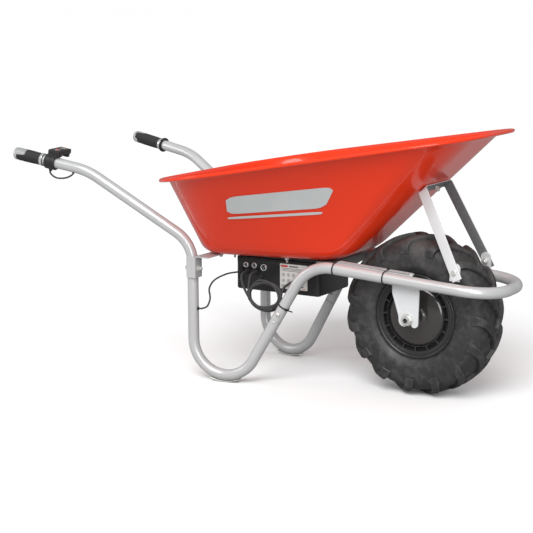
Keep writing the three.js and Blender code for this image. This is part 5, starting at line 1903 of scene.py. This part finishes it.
@dataclass
class DriveWheel:
    """The driven wheel: tyre with chevron lugs, rim, motor covers, axle and nuts.

    Attributes:
        radius: The tyre's radius over its lugs.
        half: The tyre's half width.
        lugs: How many lugs each side has.
        pockets: How many open pockets the rim has on each side.
    """

    radius: float = 200.0
    half: float = 67.0
    lugs: int = 15
    pockets: int = 16

    def on_axle(self, points: Array) -> Array:
        """Turns a shape made round z to stand on the axle's line, with z towards the right side."""
        return np.stack([points[..., 0], -points[..., 2], points[..., 1] + self.radius], axis=-1)

    def casing_profile(self) -> Array:
        """The tyre's section on one side, from the bead out over the sidewall to the crown's middle."""
        anchors = np.array(
            [
                [106.5, 49.6], [109.0, 54.5], [116.0, 59.5], [128.0, 64.0], [143.0, 65.4], [158.0, 63.6],
                [171.0, 58.6], [180.5, 49.0], [186.5, 34.0], [189.6, 17.0], [190.6, 0.0],
            ]
        )
        return smooth_curve(anchors, 7)

    def casing(self) -> Shell:
        """The casing: its section carried round the axle, with fine rings moulded in the sidewall."""
        half = self.casing_profile()
        spread = np.exp(-(((half[:, 0] - 121.0) / 1.1) ** 2)) + np.exp(-(((half[:, 0] - 126.0) / 0.9) ** 2))
        half = half + np.stack([np.zeros(len(half)), spread * 0.7], axis=-1)
        other = half[::-1][1:] * np.array([1, -1])
        inside = np.array([[94.0, -49.0], [94.0, -30], [120, -40], [150, -46], [172, -30], [176, 0]])
        inside = np.vstack([inside, (inside[:-1] * np.array([1, -1]))[::-1]])
        profile = np.vstack([half, other, inside])
        return Shell().grid(self.on_axle(revolved(profile, 180)), wrap_rows=True)

    def lug_grids(self, side: Side) -> Array:
        """Every lug of one side as one array of grids.

        A lug runs along the tyre's section from the shoulder (share 0) to just past the crown's middle
        (share 1). Its angle falls behind by a share of the way to the power 1.5, so that it curves,
        its half width grows from the shoulder, and its height drops to nothing at its border.

        Args:
            side: The side of the tyre.

        Returns:
            An array of lugs by rows by columns by three.
        """
        half = self.casing_profile()
        keep = half[:, 0] > 152
        section = np.vstack([half[keep], [[190.4, -7.0]]])
        run = np.concatenate([[0], np.cumsum(np.linalg.norm(np.diff(section, axis=0), axis=1))])
        along = np.array([0, 0.03, 0.10, 0.16, 0.2, 0.24, 0.34, 0.46, 0.58, 0.7, 0.82, 0.92, 0.97, 1.0])
        share = along * run[-1]
        r = np.interp(share, run, section[:, 0])
        y = np.interp(share, run, section[:, 1])
        slope = np.gradient(np.stack([r, y], axis=-1), axis=0)
        normal = unit(np.stack([-slope[:, 1], slope[:, 0]], axis=-1))
        normal = normal * np.sign(normal[:, :1] + 1e-9)
        height = np.array([-1.5, 3.6, 5.4, 6.8, 8.0, 8.6, 9.4, 9.8, 9.9, 9.9, 9.8, 9.6, 9.3, -1.5])
        width = np.interp(along, [0, 0.16, 0.3, 0.6, 1.0], [10.5, 11.0, 10.0, 10.5, 8.0])
        across = np.array([-1.16, -1.0, -0.9, -0.5, 0.0, 0.5, 0.9, 1.0, 1.16])
        drop = np.array([-9.0, -0.7, 0.0, 0.0, 0.0, 0.0, 0.0, -0.7, -9.0])
        tall = np.clip(height[:, None] + drop[None], -1.5, None)
        tall = np.where(height[:, None] < 0, -1.5, tall)
        hollow = ((along > 0.04) & (along < 0.16))[:, None] & (np.abs(across) < 0.45)[None]
        tall = np.where(hollow, tall - 2.2, tall)
        lead = -0.40 * np.clip((along - 0.14) / 0.86, 0, 1) ** 1.5
        first = math.radians(3.2)
        if side is Side.LEFT:
            first += math.pi / self.lugs
        start = first + np.arange(self.lugs) * 2 * math.pi / self.lugs
        radial = r[:, None] + normal[:, :1] * tall
        radial = np.minimum(radial, self.radius - 0.1)
        lateral = np.clip(y[:, None] + normal[:, 1:] * tall, -self.half + 0.2, self.half - 0.2)
        angle = start[:, None, None] + lead[None, :, None] + (across[None] * width[:, None] / r[:, None])[None]
        angle = np.broadcast_to(angle, (self.lugs, len(along), len(across)))
        lateral_all = np.broadcast_to(lateral, angle.shape)
        sign = -1.0 if side is Side.RIGHT else 1.0
        return np.stack([radial * np.cos(angle), sign * lateral_all, self.radius + radial * np.sin(angle)], axis=-1)

    def tyre(self) -> None:
        """The casing with all its lugs."""
        shell = self.casing()
        for side in Side:
            for lug in self.lug_grids(side):
                shell.grid(lug, wrap_columns=False)
                middle = vector(0, 0, self.radius)
                sunk = (lug - middle) * vector(0.975, 0.96, 0.975) + middle
                ring = np.concatenate([lug[0], lug[1:, -1], lug[-1, ::-1][1:], lug[::-1, 0][1:-1]])
                low = np.concatenate([sunk[0], sunk[1:, -1], sunk[-1, ::-1][1:], sunk[::-1, 0][1:-1]])
                shell.grid(np.stack([ring, low]))
        shell.piece("tyre_with_lugs", TYRE_RUBBER, "tyre_tread", Body.WHEEL, ("tyre",), sharp=42)

    def rim_face(self, side: Side) -> Array:
        """The rim's side face with its pockets: a ring grid whose depth steps down inside each pocket.

        Args:
            side: The side of the wheel.

        Returns:
            A grid of places.
        """
        half_turn = math.pi / self.pockets
        web = 0.11
        edges = np.array([-1 + web * 0.9, -1 + web * 1.15, -0.4, 0.0, 0.4, 1 - web * 1.15, 1 - web * 0.9, 1.0])
        inside = np.array([0, 1, 1, 1, 1, 1, 0, 0])
        centres = (np.arange(self.pockets) + 0.5) * 2 * half_turn
        angle = (centres[:, None] + edges[None] * half_turn).ravel()
        open_here = np.tile(inside, self.pockets)
        r = np.array([74.8, 76.3, 76.7, 82.0, 87.3, 87.7, 90.8])
        deep = np.array([0, 0, 1, 1, 1, 0, 0])
        level = 50.0 - 11.0 * deep[:, None] * open_here[None]
        places = np.stack([r[:, None] * np.cos(angle), r[:, None] * np.sin(angle), level], axis=-1)
        places = self.on_axle(places)
        return side.turn(places)

    def rim(self) -> None:
        """The rim: both faces, the rolled flanges with their double ring, the barrel, and a near-black ring in the
        pockets' depths as painted shade.
        """
        shell = Shell()
        flange = [(90.8, 50.0), (91.6, 50.0), (92.4, 51.8), (95.5, 51.8), (96.3, 50.6), (98.6, 50.6)]
        flange += [(99.4, 52.4), (101.0, 53.7), (103.4, 53.8), (105.0, 52.6), (105.0, 50.2), (103.6, 49.4)]
        flange += [(97.0, 49.0), (93.2, 46.0), (93.2, 0.0)]
        profile = rounded_profile(flange, 0.7)
        inner = np.array([[74.8, 0.0], [74.8, 50.0]])
        for side in Side:
            face = self.rim_face(side)
            shell.grid(face)
            # A near-black ring over the pocket floors: painted shade in the pockets' depths.
            shell.grid(side.turn(self.on_axle(revolved(np.array([[76.9, 39.4], [87.1, 39.4]]), 96))), tag=1)
            shell.grid(side.turn(self.on_axle(revolved(profile, 96))))
            shell.grid(side.turn(self.on_axle(revolved(inner, 96))))
        shell.piece("wheel_rim_pressed", [RIM_BLACK, POCKET_PAINTED_SHADE], "black_rim", Body.WHEEL, ("wheel_rim",), sharp=30)

    def cover(self, side: Side) -> None:
        """The motor's domed cover with a rolled edge, a shallow ring and a boss round the axle."""
        profile = [(10.4, 52.5), (10.4, 60.4), (12.0, 61.0), (20.0, 61.0), (24.0, 60.6), (28.0, 58.4), (31.0, 56.8)]
        profile += [(40.0, 55.9), (50.0, 54.2), (60.0, 51.9), (67.0, 49.8), (70.0, 48.2), (73.6, 45.6)]
        profile += [(74.3, 44.0), (74.3, 38.2), (72.0, 38.0), (21.4, 42.0), (21.4, 52.4)]
        smooth = rounded_profile(profile, 1.6)
        places = self.on_axle(revolved(smooth, 96))
        places = side.turn(places)
        name = side.word
        shell = Shell().grid(places, wrap_rows=True)
        shell.piece(f"motor_dome_{name}", DOME_BLACK, "black_rim", Body.WHEEL, (f"motor_cover_{name}",), sharp=32)

    def axle_end(self, side: Side) -> Shell:
        """The flanged nut, its washer and its bore, round the axle's threaded end."""
        shell = Shell()
        washer = rounded_profile([(7.4, 95.0), (15.0, 95.0), (15.0, 97.2), (7.4, 97.2)], 0.5)
        shell.grid(side.turn(self.on_axle(revolved(washer, 40))), wrap_rows=True)
        outer = hex_block(13.0, 97.2, 105.0, False, True)
        bore = revolved(np.array([[8.2, 105.0], [7.3, 104.0], [7.3, 97.2]]), 36)
        shell.grid(side.turn(self.on_axle(outer)))
        shell.grid(side.turn(self.on_axle(np.stack([outer[-1], bore[0]]))))
        shell.grid(side.turn(self.on_axle(bore)))
        shell.grid(side.turn(self.on_axle(np.stack([bore[-1], outer[0]]))))
        return shell

    def axle(self) -> None:
        """The axle: thick inside the hub, threaded outside it, bored at both ends for the motor's wires, each bore's
        mouth filled by a dark rubber disc as painted shade.
        """
        level = np.arange(86.0, 107.0, 0.6)
        zigzag = 7.0 - np.where(np.arange(len(level)) % 2 == 0, 0.0, 0.45)
        end = np.stack([zigzag, level], axis=-1)
        mouth = np.array([[6.4, 107.9], [5.8, 107.9], [5.7, 107.4], [5.7, 98.0], [0.0, 98.0]])
        half = np.vstack([[[10.0, 0.0]], [[10.0, 74.0]], [[9.4, 74.6]], [[7.0, 74.6]], end, mouth])
        # The dark rubber disc in each bore's mouth: painted shade for the hollow bore.
        plug = rounded_profile([(0.0, 97.5), (5.6, 97.5), (5.6, 108.0), (4.6, 108.0), (0.0, 107.2)], 0.4)
        shell = Shell()
        for side in Side:
            shell.grid(side.turn(self.on_axle(revolved(half, 32))))
            shell.grid(side.turn(self.on_axle(revolved(plug, 28))), tag=1)
        shell.piece("axle_bar", [STEEL, BOOT_RUBBER], "plated_steel", stands_for=("axle",))

    def build(self) -> None:
        """Builds the whole wheel and its axle."""
        self.tyre()
        self.rim()
        for side in Side:
            self.cover(side)
            name = side.word
            self.axle_end(side).piece(
                f"axle_nut_flanged_{name}", ZINC, "zinc_fastener", stands_for=(f"axle_nut_{name}",)
            )
        self.axle()


# ---------------------------------------------------------------- grips and controls


@dataclass
class Controls:
    """The grips, the throttle housing, the gauge and the push button.

    Attributes:
        right_length: How long the twist grip is.
        left_length: How long the fixed grip is.
        rubber: The rubber's radius.
        cap: The end cap's radius.
    """

    right_length: float = 91.0
    left_length: float = 111.0
    rubber: float = 17.0
    cap: float = 15.6

    def place(self) -> Place:
        """The grip's own axes with z along the handle and x up."""
        base = grip_place(0)
        return Place(base.origin, base.z, -base.y, base.x)

    def sleeve(self, length: float) -> Array:
        """The rubber sleeve: a turned shape whose radius ripples with fine ribs between two plain collars."""
        level = np.linspace(12.5, length, 130)
        ribs = 0.35 * np.maximum(0.0, np.sin(level * 1.45)) ** 2
        plain = ease((level - 30) / 3) * ease((length - 16 - level) / 3)
        swell = 0.35 * np.sin(np.clip((level - 12) / (length - 22), 0, 1) * math.pi)
        radius = self.rubber - 1.15 + ribs * plain + swell
        radius = np.where(level < 14.5, radius - (14.5 - level) * 0.5, radius)
        outer = np.stack([radius, level], axis=-1)
        inner = np.array([[14.3, length], [14.3, 5.0], [14.9, 5.0]])
        return revolved(np.vstack([outer, inner]), 56)

    def end_cap(self) -> Array:
        """The silver end cap: a dome whose front edge runs forward in two tongues.

        The edge's distance along the grip is a base length plus a smooth bump on the upper side and a
        shorter one on the lower side.

        Returns:
            A grid of places, one row for each step from the tip to the edge and back inside.
        """
        angle = full_turn(72)
        upper = ease((np.cos(angle - 0.5) - 0.50) / 0.22)
        lower = ease((-np.cos(angle - 0.5) - 0.45) / 0.22)
        edge = 13.0 + 25.0 * upper + 9.0 * lower
        tip = np.linspace(0, math.pi / 2, 9)
        rows = [np.stack([np.full(72, 0.01), np.zeros(72)])]
        rows += [
            np.stack([np.full(72, (self.cap + 0.3) * math.sin(t) ** 0.75), np.full(72, 7.5 * (1 - math.cos(t)))])
            for t in tip[1:]
        ]
        rows += [
            np.stack([np.full(72, self.cap + 0.45 + 0.4 * share), 7.5 + (edge - 7.5) * share])
            for share in np.linspace(0.1, 1, 10)
        ]
        rows.append(np.stack([np.full(72, self.cap - 0.6), edge + 0.3]))
        rows.append(np.stack([np.full(72, SLEEVE_BORE), edge * 0 + 6.0]))
        rows.append(np.stack([np.full(72, 0.01), np.full(72, 4.6)]))
        grid = np.stack(rows)
        return np.stack([grid[:, 0] * np.cos(angle), grid[:, 0] * np.sin(angle), grid[:, 1]], axis=-1)

    def collar(self, start: float, end: float, radius: float) -> Array:
        """A plain turned collar between two distances along the grip."""
        pairs = [(SLEEVE_BORE, start), (radius, start), (radius, end), (SLEEVE_BORE, end)]
        return revolved(rounded_profile(pairs, 0.9), 48)

    def grips(self) -> None:
        """Both grips: rubber, silver end cap and silver collar, the right one on the twist joint."""
        place = self.place()
        for side, length, body, node in (
            (Side.RIGHT, self.right_length, Body.GRIP, "throttle_grip"),
            (Side.LEFT, self.left_length, Body.FRAME, "grip_left"),
        ):
            shell = Shell().grid(place.put(self.sleeve(length - 9)), wrap_rows=True)
            shell.grid(place.put(self.end_cap()), wrap_rows=True, tag=1)
            shell.grid(place.put(self.collar(length - 9, length - 1.5, 16.6)), wrap_rows=True, tag=1)
            shell.grid(place.put(self.collar(length - 1.5, length, 16.0)), wrap_rows=True)
            shell.on(side).piece(f"grip_{side.word}_sleeve", [GRIP_RUBBER, STEEL], "black_rubber", body, (node,), 42)

    def left_ring(self) -> None:
        """The black flange ring ahead of the left grip, with a step."""
        start = self.left_length + GAP
        pairs = [(SLEEVE_BORE, start), (18.5, start), (20.4, start + 1.6), (20.4, start + 5.0), (17.0, start + 6.9)]
        pairs += [(SLEEVE_BORE, start + 6.9)]
        ring = revolved(rounded_profile(pairs, 0.8), 48)
        shell = Shell().grid(self.place().put(ring), wrap_rows=True).mirror()
        shell.piece("grip_left_flange", CONTROL_BLACK, "black_plastic", stands_for=("grip_ring_left",))

    def housing(self) -> None:
        """The throttle's clamp: a rounded sleeve with a split ridge, a screw boss and a cable outlet."""
        place = self.place()
        pairs = [(SLEEVE_BORE, 98.1), (18.6, 98.1), (19.8, 99.6), (19.8, 111.8), (19.2, 112.2), (19.2, 113.6)]
        pairs += [(19.8, 114.0), (19.8, 126.0), (18.4, 127.9), (SLEEVE_BORE, 127.9)]
        shell = Shell().grid(place.put(revolved(rounded_profile(pairs, 0.7), 56)), wrap_rows=True)
        base = grip_place(HOUSING_START)
        outlet = Place(base.put(vector(13, 0, 0)), base.x, base.y, -base.z)
        neck = rounded_profile([(2.6, 17.0), (5.0, 17.0), (5.0, 21.5), (4.0, 22.3), (4.0, 24.6), (2.6, 24.9)], 0.5)
        shell.grid(outlet.put(revolved(neck, 28)), wrap_rows=True)
        side = Place(base.put(vector(15, 0, 0)), base.x, base.z, -base.y)
        pairs = [(0, 17.0), (4.2, 17.0), (4.2, 20.2), (3.4, 20.8), (2.4, 20.8), (2.2, 19.8), (0, 19.8)]
        boss = rounded_profile(pairs, 0.4)
        shell.grid(side.put(revolved(boss, 24)))
        shell.piece("throttle_clamp", CONTROL_BLACK, "black_plastic", stands_for=("throttle_housing",))

    def gauge(self) -> None:
        """The gauge box: a rounded case with a turned-down inner end, a lens, lights and a button well."""
        base = grip_place(GAUGE_START)
        case = rounded_rectangle(34, 64, 5, 6) + np.array([17, 19])
        levels = [(20.5, 1.6), (21.4, 0.4), (23.5, 0.0), (30.0, 0.0), (32.0, 0.5), (32.8, 1.6)]
        grid = lofted(case, levels)
        angle = np.arctan2(grid[-1, :, 1] - 8, grid[-1, :, 0] - 17)
        hole = np.stack([17 + 5.6 * np.cos(angle), 8 + 5.6 * np.sin(angle), grid[-1, :, 2]], axis=-1)
        well_floor = hole * vector(1, 1, 0) + vector(0, 0, 28.5)
        shell = Shell().grid(base.put(np.concatenate([grid, hole[None], well_floor[None]])), capped=True)
        lip = rounded_rectangle(28, 12, 4, 5) + np.array([17, 44])
        shell.grid(base.put(lofted(lip, [(11.6, 1.4), (12.6, 0.2), (24.0, 0.0)])), capped=True)
        foot = rounded_rectangle(26, 30, 4, 5) + np.array([15, 2])
        shell.grid(base.put(lofted(foot, [(15.0, 0.0), (21.5, 0.0)])), capped=True)
        panel = rounded_rectangle(25, 34, 2.5, 5) + np.array([17, 31])
        shell.grid(base.put(lofted(panel, [(32.2, 0.0), (33.0, 0.0), (33.2, 0.4)])), capped=True, tag=1)
        for index in range(4):
            light = rounded_rectangle(3.2, 1.8, 0.6, 3) + np.array([10 + index * 4.6, 42])
            shell.grid(base.put(lofted(light, [(33.1, 0.0), (33.32, 0.1)])), capped=True, tag=2 if index else 3)
        for index in range(3):
            bar = rounded_rectangle(16 - index * 4, 0.9, 0.3, 2) + np.array([17, 36 - index * 3.2])
            shell.grid(base.put(lofted(bar, [(33.1, 0.0), (33.28, 0.05)])), capped=True, tag=4)
        collar = rounded_profile([(5.6, 31.0), (7.4, 31.0), (7.4, 33.0), (6.8, 33.4), (5.7, 33.4)], 0.3)
        well = base.at(*BUTTON_AT)
        shell.grid(well.put(revolved(collar, 32)), wrap_rows=True, tag=5)
        shell.piece(
            "gauge_case",
            [CONTROL_BLACK, LENS, LAMP, BUTTON_RED, PAPER, STEEL],
            "black_plastic",
            stands_for=("gauge_box",),
        )

    def button(self) -> None:
        """The push button: a slightly dished cap with a rounded edge."""
        place = grip_place(GAUGE_START).at(*BUTTON_AT)
        pairs = [(0, 30.6), (4.9, 30.6), (4.9, 34.0), (4.2, 34.5), (3.0, 34.4), (0, 34.1)]
        shell = Shell().grid(place.put(revolved(rounded_profile(pairs, 0.4), 32)))
        shell.piece("power_button_cap", BUTTON_RED, "button_red", Body.BUTTON, ("power_button",))

    def build(self) -> None:
        """Builds the grips and the controls."""
        self.grips()
        self.left_ring()
        self.housing()
        self.gauge()
        self.button()


# ---------------------------------------------------------------- what is inside


@dataclass
class HiddenDrive:
    """The model's own solids inside the box and the hub, which keep their shapes."""

    finishes: dict[str, Finish] = field(
        default_factory=lambda: {
            "battery_pack": CELL_WRAP,
            "motor_controller": CAST_ALLOY,
            "motor_stator": WINDING,
            "hub_bearing_left": STEEL,
            "hub_bearing_right": STEEL,
        }
    )

    def build(self) -> None:
        """Gives each hidden solid its own finish."""
        for name, finish in self.finishes.items():
            thing = bpy.data.objects[name]
            for slot in thing.material_slots:
                slot.material = finish.material()
            log.info("%s: dressed with %s", name, finish.name)


def main() -> None:
    """Builds the studio and every sub-assembly in order."""
    logging.basicConfig(level=logging.INFO, format="%(name)s %(message)s")
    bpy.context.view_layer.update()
    for part in (
        Studio(),
        Cables(),
        TubeFrame(),
        Brackets(),
        Tray(),
        Strut(),
        PowerBox(),
        DriveWheel(),
        Controls(),
        HiddenDrive(),
    ):
        log.info("building %s", type(part).__name__)
        part.build()


if __name__ == "__main__":
    main()
